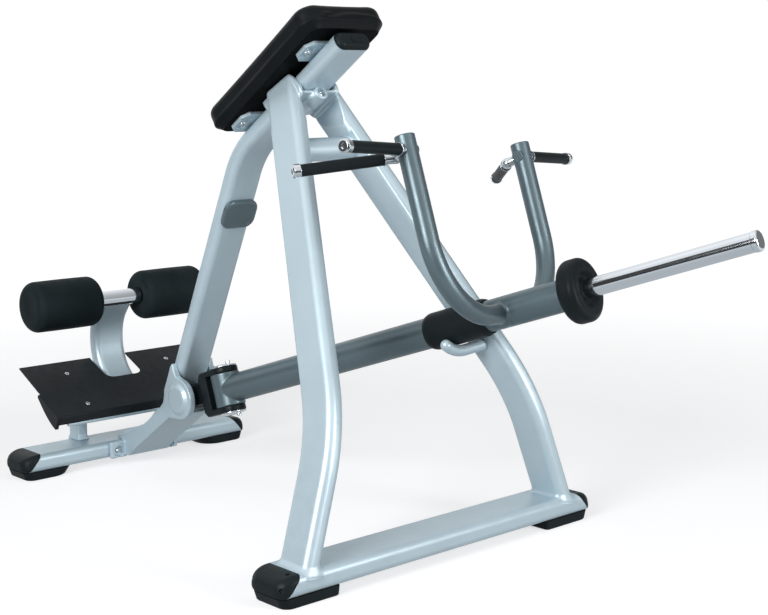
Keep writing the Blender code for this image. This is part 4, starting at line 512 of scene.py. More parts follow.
def bent_path(points, radius, steps=BEND_STEPS):
    """Centre line with round bends: list of places and directions."""
    points = [Vector(point) for point in points]
    stations = [(points[0], (points[1] - points[0]).normalized())]
    for before, corner, after in zip(points, points[1:], points[2:]):
        into = (corner - before).normalized()
        out = (after - corner).normalized()
        turn = into.angle(out)
        normal = (out - into).normalized()
        heading = (into + out).normalized()
        middle = corner + normal * radius / cos(turn / 2)
        for step in range(steps + 1):
            angle = turn * (step / steps - 0.5)
            outward = heading * sin(angle) - normal * cos(angle)
            stations.append((middle + outward * radius, heading * cos(angle) + normal * sin(angle)))
    stations.append((points[-1], (points[-1] - points[-2]).normalized()))
    return stations


def sweep(stations, normal, outline):
    """Rings of an outline along a path in the plane with this normal."""
    rings = []
    for place, direction in stations:
        side = direction.cross(normal).normalized()
        rings.append([place + normal * a + side * b for a, b in outline])
    return rings


def mitre(ring, direction, point, normal):
    """Slide a ring's points along the tube to a plane."""
    point = Vector(point)
    return [place + direction * ((point - place).dot(normal) / direction.dot(normal)) for place in ring]


def frame_outline(grow=0.0):
    """Outline of the flat-oval frame tube, wide along the first axis."""
    return rounded(TUBE_WIDTH + 2 * grow, TUBE_DEPTH + 2 * grow, TUBE_CORNER + grow)


def fillet_steps(size):
    """Growth and height of each ring of a weld fillet, from the base up."""
    return [(size * (1 - up), size * (1 - out)) for up, out in quarter(FILLET_STEPS)]


# Base bars with their caps and feet
def bar_surface(x, bar_x):
    """Height of a base bar's top at x."""
    over = abs(x - bar_x) - (BAR_WIDTH / 2 - BAR_CORNER)
    if over <= 0:
        return BAR_TOP
    over = min(over, 0.97 * BAR_CORNER)
    return BAR_TOP - BAR_CORNER + sqrt(BAR_CORNER ** 2 - over ** 2)


def foot_outline(inner, outer, half_width, inner_round, outer_round):
    """Outline of a foot from its inner to its outer end, each with its own corners."""
    points = []
    corners = ((outer - outer_round, half_width - outer_round, outer_round),
               (inner + inner_round, half_width - inner_round, inner_round),
               (inner + inner_round, inner_round - half_width, inner_round),
               (outer - outer_round, outer_round - half_width, outer_round))
    for count, (along, across, radius) in enumerate(corners):
        points += arc((along, across), radius, count * pi / 2, (count + 1) * pi / 2, 10)
    return points


def make_bar(end, x, half, length, inner_round):
    """Base bar with the moulded cap and the rubber foot at each end."""
    outline = rounded(BAR_WIDTH, BAR_HEIGHT, BAR_CORNER)
    rings = []
    for y, slant in ((-half, -SEAM_SLOPE), (half, SEAM_SLOPE)):
        for back, shrink in ((0.0, 0.0006), (0.0006, 0.0)):
            inset = rounded(BAR_WIDTH - 2 * shrink, BAR_HEIGHT - 2 * shrink, BAR_CORNER)
            rings.append([(x + a, y - slant * b - (back if y > 0 else -back), BAR_Z + b) for a, b in inset])
    add(f"{end}_bar", loft([rings[0], rings[1], rings[3], rings[2]]), "silver_paint",
        f"{end}_base_bar", sharp=50)
    for hand, side in HANDS:
        cap = [[(x + a * 0.9, side * (half - 0.006 - SEAM_SLOPE * b), BAR_Z + b * 0.9) for a, b in outline]]
        cap.append([(x + a * 0.985, side * (half + 0.0004 - SEAM_SLOPE * b), BAR_Z + b * 0.97)
                    for a, b in outline])
        for out, flat in quarter(14):
            turn = 1 - flat
            low, high = CAP_BOTTOM_ROUND * turn, CAP_TOP_ROUND * turn
            ring = rounded(BAR_WIDTH - 2 * CAP_SIDE_ROUND * turn, BAR_HEIGHT - low - high, BAR_CORNER)
            reach = 0.0008 + (CAP_LENGTH - 0.0008) * out
            lean = SEAM_SLOPE * (1 - out)
            cap.append([(x + a, side * (half + reach - lean * b), BAR_Z + b + (low - high) / 2)
                        for a, b in ring])
        cap = loft(cap)
        if end == "front":
            holes = [dimple(cap, (x + ahead, side * (half + reach), BAR_Z + rise), inward)
                     for ahead, reach, rise, inward in (
                         (-0.090, 0.060, -0.001, (0.8, -side * 0.75, 0)),
                         (0.076, 0.070, -0.002, (-0.5, -side, 0)),
                         (0.038, -0.003, 0.080, (0, 0, -1)))]
            cap = carved(cap, *holes)
        add(f"{end}_{hand}_cap", cap, "black_plastic", f"{end}_{hand}_end_cap", sharp=50)
        outer = half + FOOT_OVERHANG
        half_width = BAR_WIDTH / 2 - FOOT_INSET
        foot = []
        for z, taper, pinch in ((0, FOOT_TAPER, 0.003), (0.0012, FOOT_TAPER, 0.001),
                                (0.003, FOOT_TAPER - 0.001, 0), (FOOT_HEIGHT - 0.0015, 0.0004, 0),
                                (FOOT_HEIGHT, 0.0004, 0.0012)):
            ring = foot_outline(outer - length + pinch + taper * inner_round / FOOT_OUTER_ROUND,
                                outer - taper - pinch, half_width - pinch, inner_round, FOOT_OUTER_ROUND)
            foot.append([(x + b, side * a, z) for a, b in ring])
        add(f"{end}_{hand}_rubber_foot", loft(foot), "rubber", f"{end}_{hand}_foot", sharp=50)


# Legs, spine, saddle and brace
def leg_line(side):
    """Centre line points of a leg and the normal of the plane that it bends in."""
    points = [Vector((x, side * y, z)) for x, y, z in (LEG_BASE, LEG_KNEE, LEG_HEAD)]
    normal = (points[1] - points[0]).cross(points[2] - points[1]).normalized()
    return points, normal if normal.y > 0 else -normal


def leg_outline(grow=0.0):
    """Outline of the frame tube as it lies in a leg, wide in the plane of the bend."""
    return [(b, a) for a, b in frame_outline(grow)]


def make_leg(hand, side):
    """Bent tube that flows out of the front bar and ends inside the head saddle's skin."""
    points, normal = leg_line(side)
    stations = bent_path(points, LEG_BEND_RADIUS)
    direction = stations[0][1]
    rings = []
    for grow, rise in fillet_steps(WELD_FILLET):
        ring = sweep(stations[:1], normal, leg_outline(grow))[0]
        for _ in range(5):
            ring = [point + direction * ((bar_surface(point.x, FRONT_BAR_X) + rise - point.z) / direction.z)
                    for point in ring]
        rings.append(ring)
    rings.insert(0, [point - UP * 0.004 for point in rings[0]])
    rings += sweep(stations, normal, leg_outline())[1:]
    rings[-1] = mitre(rings[-1], stations[-1][1], (0, side * (CHEEK_OUTER - 0.001), 0), ACROSS)
    bm = loft(rings)
    cut_off(bm, SPINE_KNEE + SPINE_ABOVE * (CHEEK_TOP - LEG_TOP_DROP), SPINE_ABOVE)
    add(f"{hand}_frame_leg", bm, "silver_paint", f"{hand}_leg", sharp=50, round_edges=0.003)


def make_spine():
    """Bent tube from the pivot casting to its moulded cap under the chest pad."""
    ends = (SPINE_KNEE + SPINE_DOWN * SPINE_LOWER, SPINE_KNEE, SPINE_KNEE + SPINE_UP * SPINE_UPPER)
    rings = sweep(bent_path(ends, SPINE_BEND_RADIUS), ACROSS, frame_outline())
    add("spine", loft(rings), "silver_paint", "spine_tube", sharp=50)
    rings = [[(SPINE_UPPER - 0.006, a * 0.9, b * 0.9) for a, b in frame_outline()],
             [(SPINE_UPPER + 0.0002, a, b) for a, b in frame_outline(-0.0012)]]
    for up, out in quarter(12):
        rings.append([(SPINE_UPPER + 0.0006 + SPINE_CAP_HEIGHT * up, a, b)
                      for a, b in frame_outline(-0.015 * (1 - out))])
    top = SPINE_UPPER + SPINE_CAP_HEIGHT + 0.003
    boss = [(SPINE_UPPER + 0.008, SPINE_CAP_BOSS), (top, SPINE_CAP_BOSS), (top, 0)]
    add("spine_cap", merge(loft(rings), turned(soften(boss, 0.001))), "black_plastic",
        "spine_end_cap", matrix=SPINE, sharp=50)


def make_saddle():
    """U-shaped bracket whose skin flows into both legs and round the boss of its bolt."""
    outline = [(CHEEK_REAR, CHEEK_TOP), (CHEEK_REAR + 0.002, 0.012), (CHEEK_REAR + 0.034, -CHEEK_BOTTOM),
               (CHEEK_FRONT, -CHEEK_BOTTOM), (CHEEK_FRONT + CHEEK_NOSE * 0.8, -0.034),
               (CHEEK_FRONT + CHEEK_NOSE, -0.020), (CHEEK_FRONT + CHEEK_NOSE * 0.5, 0.006),
               (CHEEK_FRONT - 0.004, 0.026), (CHEEK_FRONT - 0.012, CHEEK_TOP - 0.002),
               (CHEEK_FRONT - 0.020, CHEEK_TOP)]
    parts = [side_plate(outline, side * CHEEK_INNER, side * CHEEK_OUTER) for _, side in HANDS]
    web = [(CHEEK_REAR + WEB_BACK - WEB_HOLLOW * cos(pi / 2 * y / CHEEK_OUTER), y)
           for y in [CHEEK_OUTER * (k / 8 - 1) for k in range(17)]]
    web += [(CHEEK_FRONT + 0.004, CHEEK_OUTER), (CHEEK_FRONT + 0.004, -CHEEK_OUTER)]
    parts.append(slab(web, -HALF_TUBE - GAP - WEB_THICKNESS, -HALF_TUBE - GAP))
    boss = spun([(HEAD_BOSS_START, HEAD_BOSS_RADIUS), (HEAD_BOSS_ALONG, HEAD_BOSS_RADIUS)])
    parts.append(placed(boss, moved(0, 0, -HEAD_BOSS_BELOW)))
    fairing = []
    for share in [step / 12 for step in range(13)]:
        wide, tall, drop = (start + (end - start) * share ** 1.6 for start, end in (
            (FAIRING_WIDE, HEAD_BOSS_RADIUS), (FAIRING_TALL, HEAD_BOSS_RADIUS),
            (FAIRING_DROP, HEAD_BOSS_BELOW)))
        fairing.append([(FAIRING_START + FAIRING_LENGTH * share, wide * a, tall * b - drop)
                        for a, b in circle(1.0, 40)])
    parts.append(loft(fairing))
    to_source = ROOT.inverted() @ SPINE
    bracket = placed(merge(*parts), to_source)
    stubs = []
    for _, side in HANDS:
        points, normal = leg_line(side)
        up = (points[2] - points[1]).normalized()
        rings = []
        for back, grow in ((STUB_LENGTH, -0.0012), (0.0, 0.0010)):
            rings += sweep([(points[2] - up * back, up)], normal, leg_outline(grow))
        rings[-1] = mitre(rings[-1], up, (0, side * (CHEEK_OUTER - 0.004), 0), ACROSS)
        stubs.append(loft(rings))
        cut_off(stubs[-1], SPINE_KNEE + SPINE_ABOVE * CHEEK_TOP, SPINE_ABOVE)
    skin = fused(merge(bracket, *stubs), SADDLE_VOXEL, SADDLE_ROUNDS)
    slot = placed(box((0.1, -CHEEK_INNER, -HALF_TUBE - GAP), (0.6, CHEEK_INNER, 0.2)), to_source)
    floor = HEAD_BOSS_ALONG - HEAD_RECESS_DEPTH
    recess = spun([(floor, HEAD_RECESS_RADIUS), (floor + 0.03, HEAD_RECESS_RADIUS)])
    recess = placed(recess, to_source @ moved(0, 0, -HEAD_BOSS_BELOW))
    add("saddle", carved(skin, slot, recess), "silver_paint", "head_saddle", sharp=50)


def make_brace():
    """Round tube between the legs with a weld at each end."""
    points, _ = leg_line(1)
    up = (points[2] - points[1]).normalized()
    centre = points[1] + up * ((BRACE_Z - points[1].z) / up.z)
    ends = []
    for _, side in HANDS:
        out = leg_line(side)[1]
        rings = []
        for grow, rise in [(BRACE_WELD, -0.003)] + fillet_steps(BRACE_WELD):
            face = Vector((centre.x, side * centre.y, centre.z)) - side * out * (HALF_TUBE + rise)
            ring = [Vector((centre.x + a, 0, BRACE_Z + b)) for a, b in circle(BRACE_RADIUS + grow)]
            rings.append(mitre(ring, ACROSS, face, out))
        ends.append(rings)
    add("brace_tube", loft(ends[0] + ends[1][::-1]), "silver_paint", "leg_brace", sharp=50)


def make_badge():
    """Bare nameplate housing on the front face of the spine."""
    middle = (BADGE_TOP + BADGE_BOTTOM) / 2
    length = BADGE_BOTTOM - BADGE_TOP
    profile = [(0.0, -0.002), (0.0, 0.55), (0.0006, 0.70), (0.003, 0.86), (0.007, 0.96), (0.011, 1.0),
               (0.0125, 1.0), (0.0135, 0.93), (0.0150, 0.92)]
    rings = []
    for inset, height in profile:
        ring = rounded(length - 2 * inset, 2 * (BADGE_HALF - inset), max(BADGE_CORNER - inset, 0.004), 10)
        rings.append([(middle + a, b, HALF_TUBE + GAP + height * BADGE_THICKNESS) for a, b in ring])
    add("badge", loft(rings), "grey_paint", "nameplate_housing", matrix=SPINE_FRONT, sharp=30)


# Bolts and screws
def make_bolt(name, matrix, radius, height, hexagon, node):
    """Button head with a hexagon socket, on a short shank."""
    depth = min(0.6 * height + 0.001, 0.004)
    head = soften([(-SHANK_DEPTH, SHANK_RADIUS), (0.0, SHANK_RADIUS), (0.0, radius), (0.55 * height, radius),
                   (height, 0.72 * radius), (height, hexagon * 1.12)], EDGE_ROUND)
    socket = [(height, hexagon, 6), (height - depth, hexagon * 0.97, 6), (height - depth - 0.0008, 0)]
    profile = [(-SHANK_DEPTH, 0)] + head + socket
    add(name, turned(profile, "Z", FACING_STEPS), "steel", node, matrix=matrix, sharp=40)


def make_bolts():
    """Screws of the saddle, the pad plates, the foot plate and the pivot casting."""
    down = Matrix.Rotation(pi, 4, "X")
    floor = HEAD_BOSS_ALONG - HEAD_RECESS_DEPTH
    make_bolt("saddle_bolt", SPINE @ moved(floor, 0, -HEAD_BOSS_BELOW) @ TO_X, *FRAME_BOLT, "head_bolt")
    for label, start, length in PAD_PLATES:
        for hand, side in HANDS:
            place = SPINE @ moved(start + length / 2, side * PAD_BOLT_Y, PAD_PLATE_LOW)
            make_bolt(f"{label}_{hand}_plate_bolt", place @ down, *FRAME_BOLT, f"{label}_{hand}_pad_bolt")
    for (ahead, across), label in ((REAR_SCREW, "rear"), (FRONT_SCREW, "front")):
        for hand, side in HANDS:
            place = PLATE @ moved(ahead, side * across, PLATE_TOP)
            make_bolt(f"{label}_{hand}_sheet_screw", place, *SHEET_SCREW, f"{label}_{hand}_plate_screw")
    for hand, side in HANDS:
        place = ROOT @ moved(BAR_FRONT + LUG_THICKNESS - LUG_POCKET_DEPTH, side * LUG_BOLT_Y, LUG_BOLT_Z)
        make_bolt(f"{hand}_lug_bolt", place @ TO_X, *LUG_BOLT, f"{hand}_casting_bolt")


# Chest pad
def pad_ring(inset, waist, z):
    """Outline of the chest pad whose sides pull in between the corners."""
    half_x, half_y = (PAD_END - PAD_START) / 2 - inset, PAD_WIDTH / 2 - inset
    corner = max(PAD_CORNER - inset, PAD_LEAST_CORNER)
    middle = (PAD_START + PAD_END) / 2
    points = []
    for count, (sx, sy) in enumerate(((1, 1), (-1, 1), (-1, -1), (1, -1))):
        for step in range(PAD_CORNER_STEPS + 1):
            angle = (count + step / PAD_CORNER_STEPS) * pi / 2
            points.append((sx * (half_x - corner) + corner * cos(angle),
                           sy * (half_y - corner) + corner * sin(angle)))
        along_x = count in (0, 2)
        span = 2 * ((half_x if along_x else half_y) - corner)
        start = points[-1]
        pieces = PAD_SIDE_STEPS[count % 2]
        for step in range(1, pieces):
            share = step / pieces
            pull = waist * sin(pi * share)
            if along_x:
                points.append((start[0] - sx * span * share, start[1] - sy * pull))
            else:
                points.append((start[0] - sx * pull, start[1] - sy * span * share))
    return [Vector((middle + x, y, z)) for x, y in points]


def swell(item, held_below):
    """Let the cushion's skin swell a little as a cloth, held below a height."""
    mesh = item.data
    rest = np.empty(len(mesh.vertices) * 3)
    mesh.vertices.foreach_get("co", rest)
    rest = rest.reshape(-1, 3)
    held = item.vertex_groups.new(name="held")
    for index, (_, _, z) in enumerate(rest):
        grip = min(1.0, max(0.0, (held_below - z) / GRIP_HEIGHT))
        if grip > 0:
            held.add([index], grip, "REPLACE")
    cloth = item.modifiers.new("cloth", "CLOTH")
    for name, value in CLOTH.items():
        setattr(cloth.settings, name, value)
    cloth.settings.effector_weights.gravity = 0
    scene = bpy.context.scene
    for timed in (scene, cloth.point_cache):
        timed.frame_start, timed.frame_end = 1, CLOTH_FRAMES
    for step in range(1, CLOTH_FRAMES + 1):
        scene.frame_set(step)
    graph = bpy.context.evaluated_depsgraph_get()
    swollen = np.empty(rest.size)
    item.evaluated_get(graph).data.vertices.foreach_get("co", swollen)
    shift = swollen.reshape(-1, 3) - rest
    length = np.linalg.norm(shift, axis=1, keepdims=True)
    shift *= np.minimum(1.0, SWELL_LIMIT / np.maximum(length, 1e-9))
    item.modifiers.remove(cloth)
    scene.frame_set(1)
    mesh.vertices.foreach_set("co", (rest + shift).ravel())


def make_chest_pad():
    """Moulded cushion: a crowned face, a rounded edge, side walls and a sewn lower band."""
    low = PAD_LOW + 0.0004
    band = PAD_LOW + PAD_BEVEL
    wall = band + 0.0026
    shoulder = PAD_TOP - PAD_TOP_ROUND - 0.004
    crown = PAD_TOP - 0.0045
    inner = PAD_WIDTH / 2 - 0.012
    rows = [(PAD_BOARD_INSET + 0.004, 0, PAD_LOW + PAD_BOARD_THICKNESS - 0.004),
            (PAD_BOARD_INSET + 0.004, 0, PAD_LOW + 0.0010), (PAD_BOARD_INSET + 0.003, 0, PAD_LOW),
            (PAD_BOARD_INSET + 0.001, 0, PAD_LOW), (PAD_BOARD_INSET, 0, low)]
    rows += [(PAD_BOARD_INSET * (1 - share), 0.0015 * share,
              low + PAD_BEVEL * share + 0.0012 * sin(pi * share)) for share in (0.04, 0.25, 0.5, 0.75, 0.94)]
    rows += [(PAD_SEAM_INSET, 0.0020, band + 0.0006), (0.0006, 0.0024, wall)]
    rows += [(0.0006 - 0.0004 * share, PAD_SIDE_PULL, wall + (shoulder - wall) * share)
             for share in (0.2, 0.4, 0.6, 0.8, 1.0)]
    rows += [(0.0002 + PAD_TOP_ROUND * (1 - out), PAD_SIDE_PULL * out, shoulder + (crown - shoulder) * up)
             for up, out in quarter(9)[1:]]
    rows += [(PAD_TOP_ROUND + (inner - PAD_TOP_ROUND) * step / 12, 0, crown + PAD_CROWN * up)
             for step, (up, _) in enumerate(quarter(12)) if step]
    item = new_object(loft([pad_ring(*row) for row in rows]))
    swell(item, band + GRIP_HEIGHT)
    pad = add("chest_cushion", finished_mesh(item), "upholstery", "chest_pad", matrix=SPINE, sharp=0)
    subdivide = pad.modifiers.new("subdivide", "SUBSURF")
    subdivide.levels = subdivide.render_levels = 1


def make_pad_plates():
    """Two plates with cut corners and pressed dishes between the spine and the pad's board."""
    for label, start, length in PAD_PLATES:
        middle = start + length / 2
        outline = rounded(length, 2 * PAD_PLATE_HALF, PAD_PLATE_CORNER, 1)
        plate = slab([(middle + a, b) for a, b in outline], PAD_PLATE_LOW,
                     PAD_PLATE_LOW + PAD_PLATE_THICKNESS)
        dishes, bosses = [], []
        for _, side in HANDS:
            rings = []
            for up, out in quarter(6):
                slope = DISH_SLOPE * (1 - out)
                height = PAD_PLATE_LOW - 0.0005 + DISH_DEPTH * up
                dish = rounded(length - DISH_INSET - slope, DISH_HALF - slope, DISH_CORNER)
                rings.append([(middle + a, side * (PAD_BOLT_Y - 0.003) + b, height) for a, b in dish])
            dishes.append(loft(rings))
            boss = turned(soften([(0.006, 0.0), (0.006, 0.0125), (0.0, 0.0115), (0.0, 0.0)], 0.001), "Z", 40)
            bosses.append(placed(boss, moved(middle, side * PAD_BOLT_Y, PAD_PLATE_LOW)))
        bm = merge(carved(plate, *dishes), *bosses)
        add(f"{label}_plate", bm, "silver_paint", f"{label}_pad_plate", matrix=SPINE, round_edges=0.0016)


# Rollers, axle and post
def make_rollers():
    """Foam rollers with soft ends on a chromed axle."""
    centre = ROOT @ moved(ROLLER_X, 0, ROLLER_Z)
    reach = ROLLER_OUTER - ROLLER_END_WALL
    sleeve = ROLLER_INNER + 0.001
    profile = soften([(-reach, AXLE_RADIUS), (-sleeve, AXLE_RADIUS), (-sleeve, AXLE_SLEEVE_RADIUS),
                      (sleeve, AXLE_SLEEVE_RADIUS), (sleeve, AXLE_RADIUS), (reach, AXLE_RADIUS)], 0.0015)
    add("chromed_axle", spun(profile, "Y"), "chrome", "roller_axle", matrix=centre)
    low, high = ROLLER_INNER + 0.0015, ROLLER_OUTER
    face = ROLLER_RADIUS - ROLLER_SLACK
    bore = AXLE_RADIUS + ROLLER_SLACK
    edge = [(ROLLER_ROUND * (1 - out), face - ROLLER_ROUND * (1 - up)) for out, up in quarter(12)]
    points = [(low + 0.006, AXLE_SLEEVE_RADIUS + 0.0004), (low + 0.002, AXLE_SLEEVE_RADIUS + 0.004)]
    points += [(low + inset, radius) for inset, radius in edge[::-1]]
    for share in [step / 12 for step in range(1, 12)]:
        points.append((low + ROLLER_ROUND + (high - low - 2 * ROLLER_ROUND) * share,
                       face + ROLLER_SLACK * sin(pi * share)))
    points += [(high - inset, radius) for inset, radius in edge]
    points += [(high - 0.0002, 0.040), (high - 0.0012, 0.022), (high - 0.0022, 0.010), (high - 0.0025, 0),
               (reach + 0.002, 0), (reach + 0.002, bore), (low + 0.010, bore)]
    for hand, side in HANDS:
        bm = turned([(side * distance, radius) for distance, radius in points], "Y", FINE_STEPS, closed=True)
        roller = add(f"{hand}_foam", bm, "roller_foam", f"{hand}_roller", f"{hand}_foam_roller", centre,
                     sharp=60)


def make_post():
    """Curved tube from under the foot plate to the axle."""
    centre = RAIL_TOP - CROSS_HEIGHT - GAP - HALF_TUBE
    low = SPINE_FRONT_FACE * POST_END - SPINE_DOWN * centre
    corner_z = low.z + (low.x - POST_BACK_X) * cos(LOWER_ANGLE) / sin(LOWER_ANGLE)
    points = [(ROLLER_X, 0, ROLLER_Z), (POST_BACK_X, 0, POST_SHOULDER_Z), (POST_BACK_X, 0, corner_z), low]
    rings = sweep(bent_path(points, POST_BEND_RADIUS), ACROSS, frame_outline())
    add("post", loft(rings), "silver_paint", "roller_post", sharp=50)


# Foot plate
def make_foot_plate():
    """Folded sheet with a notch, a turned-down front edge and curved side flanges."""
    notch = PLATE_REAR + NOTCH_DEPTH
    right = [(PLATE_REAR, PLATE_REAR_HALF), (PLATE_REAR, NOTCH_HALF)]
    right += arc((notch - NOTCH_CORNER, NOTCH_HALF - NOTCH_CORNER), NOTCH_CORNER, pi / 2, 0, 10)
    outline = [(PLATE_FRONT - 0.003, PLATE_FRONT_HALF)] + right
    outline += [(x, -y) for x, y in outline[::-1]]
    parts = [slab(outline, PLATE_TOP - PLATE_THICKNESS, PLATE_TOP)]
    fold = (PLATE_FRONT - PLATE_FOLD, PLATE_TOP - PLATE_FOLD)
    lip = arc(fold, PLATE_FOLD, pi / 2, 0, 8)
    lip += [(PLATE_FRONT, PLATE_TOP - LIP_DEPTH), (PLATE_FRONT - PLATE_THICKNESS, PLATE_TOP - LIP_DEPTH)]
    lip += arc(fold, PLATE_FOLD - PLATE_THICKNESS, 0, pi / 2, 6)
    parts.append(side_plate(lip, -PLATE_FRONT_HALF, PLATE_FRONT_HALF))
    heel, drop = PLATE_TOP - FLANGE_HEEL, FLANGE_DEPTH - FLANGE_HEEL
    edge = [(FLANGE_REAR + (PLATE_FRONT - FLANGE_REAR) * k / 20, heel - drop * up)
            for k, (up, _) in enumerate(quarter(20))]
    edge = [(FLANGE_REAR, PLATE_TOP - 0.0005)] + edge + [(PLATE_FRONT, PLATE_TOP - 0.0005)]
    inner, outer = PLATE_FRONT_HALF - PLATE_THICKNESS, PLATE_FRONT_HALF + FLANGE_BULGE
    parts += [side_plate(edge, side * inner, side * outer) for _, side in HANDS]
    add("folded_foot_plate", merge(*parts), "black_sheet", "foot_plate", matrix=PLATE,
        sharp=30, round_edges=EDGE_ROUND)


# Arm with its sleeves, bumper, horn and yoke
def make_pins():
    """Chromed caps of the upright pivot pin."""
    face = PIN_STACK + GAP
    crown = face + PIN_CAP_HEIGHT
    tip = crown + PIN_LOCK_HEIGHT
    for name, node, flip in (("pin_cap", "pivot_pin", 0), ("pin_nut_cap", "pivot_pin_nut", pi)):
        dome = soften([(face - 0.012, PIN_RADIUS - 0.001), (face, PIN_RADIUS - 0.001), (face, PIN_CAP_RADIUS),
                       (face + 0.4 * PIN_CAP_HEIGHT, PIN_CAP_RADIUS),
                       (face + 0.7 * PIN_CAP_HEIGHT, PIN_CAP_RADIUS - 0.006), (crown, PIN_CAP_CROWN),
                       (crown, 0.004)], 0.002)
        lock = soften([(face + 0.003, PIN_LOCK_RADIUS), (tip, PIN_LOCK_RADIUS), (tip, 0.001)], 0.0015)
        whole = merge(spun(dome, "Z"), placed(spun(lock, "Z", 32), moved(PIN_LOCK_AHEAD, 0, 0)))
        matrix = PITCH @ moved(PIN_AHEAD, 0, -PIN_BELOW) @ Matrix.Rotation(flip, 4, "X")
        add(name, whole, "chrome", node, "pivot_fork", matrix)


def make_arm_tube():
    """Arm tube that grows out of its pivot sleeve."""
    half = FORK_GAP / 2 - GAP
    stub = merge(spun([(0.0, ARM_RADIUS), (ARM_SPLIT + 0.01, ARM_RADIUS)]),
                 spun([(-half, PIVOT_SLEEVE_RADIUS), (half, PIVOT_SLEEVE_RADIUS)], "Z"))
    stub = fused(stub, 0.0012, 16)
    cut_off(stub, ALONG * ARM_SPLIT, ALONG)
    tube = [(ARM_SPLIT - 0.02, 0), (ARM_SPLIT - 0.02, ARM_RADIUS - 0.003),
            (ARM_SPLIT - 0.0005, ARM_RADIUS - 0.00002), (ARM_END - 0.002, ARM_RADIUS),
            (ARM_END - 0.0006, ARM_RADIUS - 0.0014), (ARM_END - GAP, 0)]
    add("arm", merge(stub, turned(tube)), "grey_paint", "arm_tube", "lever_arm", ARM, sharp=60)


def make_arm():
    """Arm tube, rest sleeve, bumper and weight horn."""
    make_arm_tube()
    seat = ARM_RADIUS + GAP
    edge = seat + REST_SLEEVE_EDGE
    ring = soften([(REST_SLEEVE_START, seat), (REST_SLEEVE_START, edge),
                   (REST_SLEEVE_START + REST_SLEEVE_TAPER, REST_SLEEVE_RADIUS),
                   (REST_SLEEVE_END - REST_SLEEVE_TAPER, REST_SLEEVE_RADIUS),
                   (REST_SLEEVE_END, edge), (REST_SLEEVE_END, seat)], 0.006, 6)
    add("rubber_sleeve", turned(ring, closed=True), "rubber", "rest_sleeve", "lever_arm", ARM)

    rim = BUMPER_RADIUS - BUMPER_ROUND
    horn_hole = HORN_RADIUS + GAP
    ring = [(BUMPER_START, seat)]
    ring += [(BUMPER_START + BUMPER_ROUND * (1 - out), rim + BUMPER_ROUND * up) for up, out in quarter(10)]
    ring += [(BUMPER_END - BUMPER_ROUND * (1 - up), rim + BUMPER_ROUND * out) for up, out in quarter(10)]
    ring += soften([(BUMPER_END, rim - 0.002), (BUMPER_END, BUMPER_RECESS + 0.004),
                    (BUMPER_END - 0.004, BUMPER_RECESS), (ARM_END + 0.006, BUMPER_RECESS - 0.008),
                    (ARM_END + 0.0035, 0.034), (ARM_END + 0.0035, horn_hole), (ARM_END + GAP, horn_hole),
                    (ARM_END + GAP, seat)], EDGE_ROUND)
    add("rubber_bumper", turned(ring, closed=True), "rubber", "bumper", "lever_arm", ARM)

    horn = [(HORN_START, HORN_RADIUS), (HORN_SEAM - 0.0006, HORN_RADIUS), (HORN_SEAM, HORN_RADIUS - 0.0008)]
    add("chromed_horn", spun(horn, steps=FINE_STEPS), "chrome", "weight_horn", "lever_arm", ARM)
    start, end = HORN_SEAM + GAP, HORN_SEAM + HORN_CAP_LENGTH
    cap = soften([(start, HORN_RADIUS - 0.002), (start, HORN_CAP_RADIUS), (end - 0.004, HORN_CAP_RADIUS),
                  (end - 0.001, HORN_CAP_RADIUS - 0.003), (end, HORN_CAP_RADIUS - 0.007), (end, 0.004)],
                 EDGE_ROUND)
    add("horn_end", spun(cap, steps=FINE_STEPS), "chrome", "horn_cap", "lever_arm", ARM)


def make_prong(hand, side):
    """Bent round tube that flows out of the arm and ends in a flat top."""
    rings = []
    for grow, rise in [(YOKE_WELD, -0.004)] + fillet_steps(YOKE_WELD):
        ring = []
        for a, b in circle(YOKE_RADIUS + grow):
            level = min(abs(YOKE_BASE + b), 0.98 * ARM_RADIUS)
            out = sqrt(ARM_RADIUS ** 2 - level ** 2) + rise
            ring.append(Vector((YOKE_STATION + a, side * out, YOKE_BASE + b)))
        rings.append(ring)
    points = [(YOKE_STATION, side * 0.012, YOKE_BASE), (YOKE_STATION, side * YOKE_HALF, YOKE_BASE),
              (YOKE_STATION, side * YOKE_HALF, YOKE_TOP)]
    stations = bent_path(points, YOKE_BEND_RADIUS, YOKE_STEPS)
    rings += sweep(stations[1:-1], ALONG, [(a, -side * b) for a, b in circle(YOKE_RADIUS)])
    top, heading = stations[-1]
    for up, out in quarter(6):
        rim = [(a, -side * b) for a, b in circle(YOKE_RADIUS - YOKE_TOP_ROUND * (1 - out))]
        rings += sweep([(top - heading * YOKE_TOP_ROUND * (1 - up), heading)], ALONG, rim)
    end = YOKE_RADIUS + YOKE_BOSS_HEIGHT
    boss = soften([(0, YOKE_BOSS_RADIUS), (end, YOKE_BOSS_RADIUS), (end, 0.002)], EDGE_ROUND)
    knob = placed(spun([(-side * distance, radius) for distance, radius in boss], "Y"),
                  moved(YOKE_STATION, side * YOKE_HALF, HANDLE_HEIGHT))
    add(f"{hand}_yoke", merge(loft(rings), knob), "grey_paint", f"{hand}_prong", "lever_arm", ARM, sharp=50)


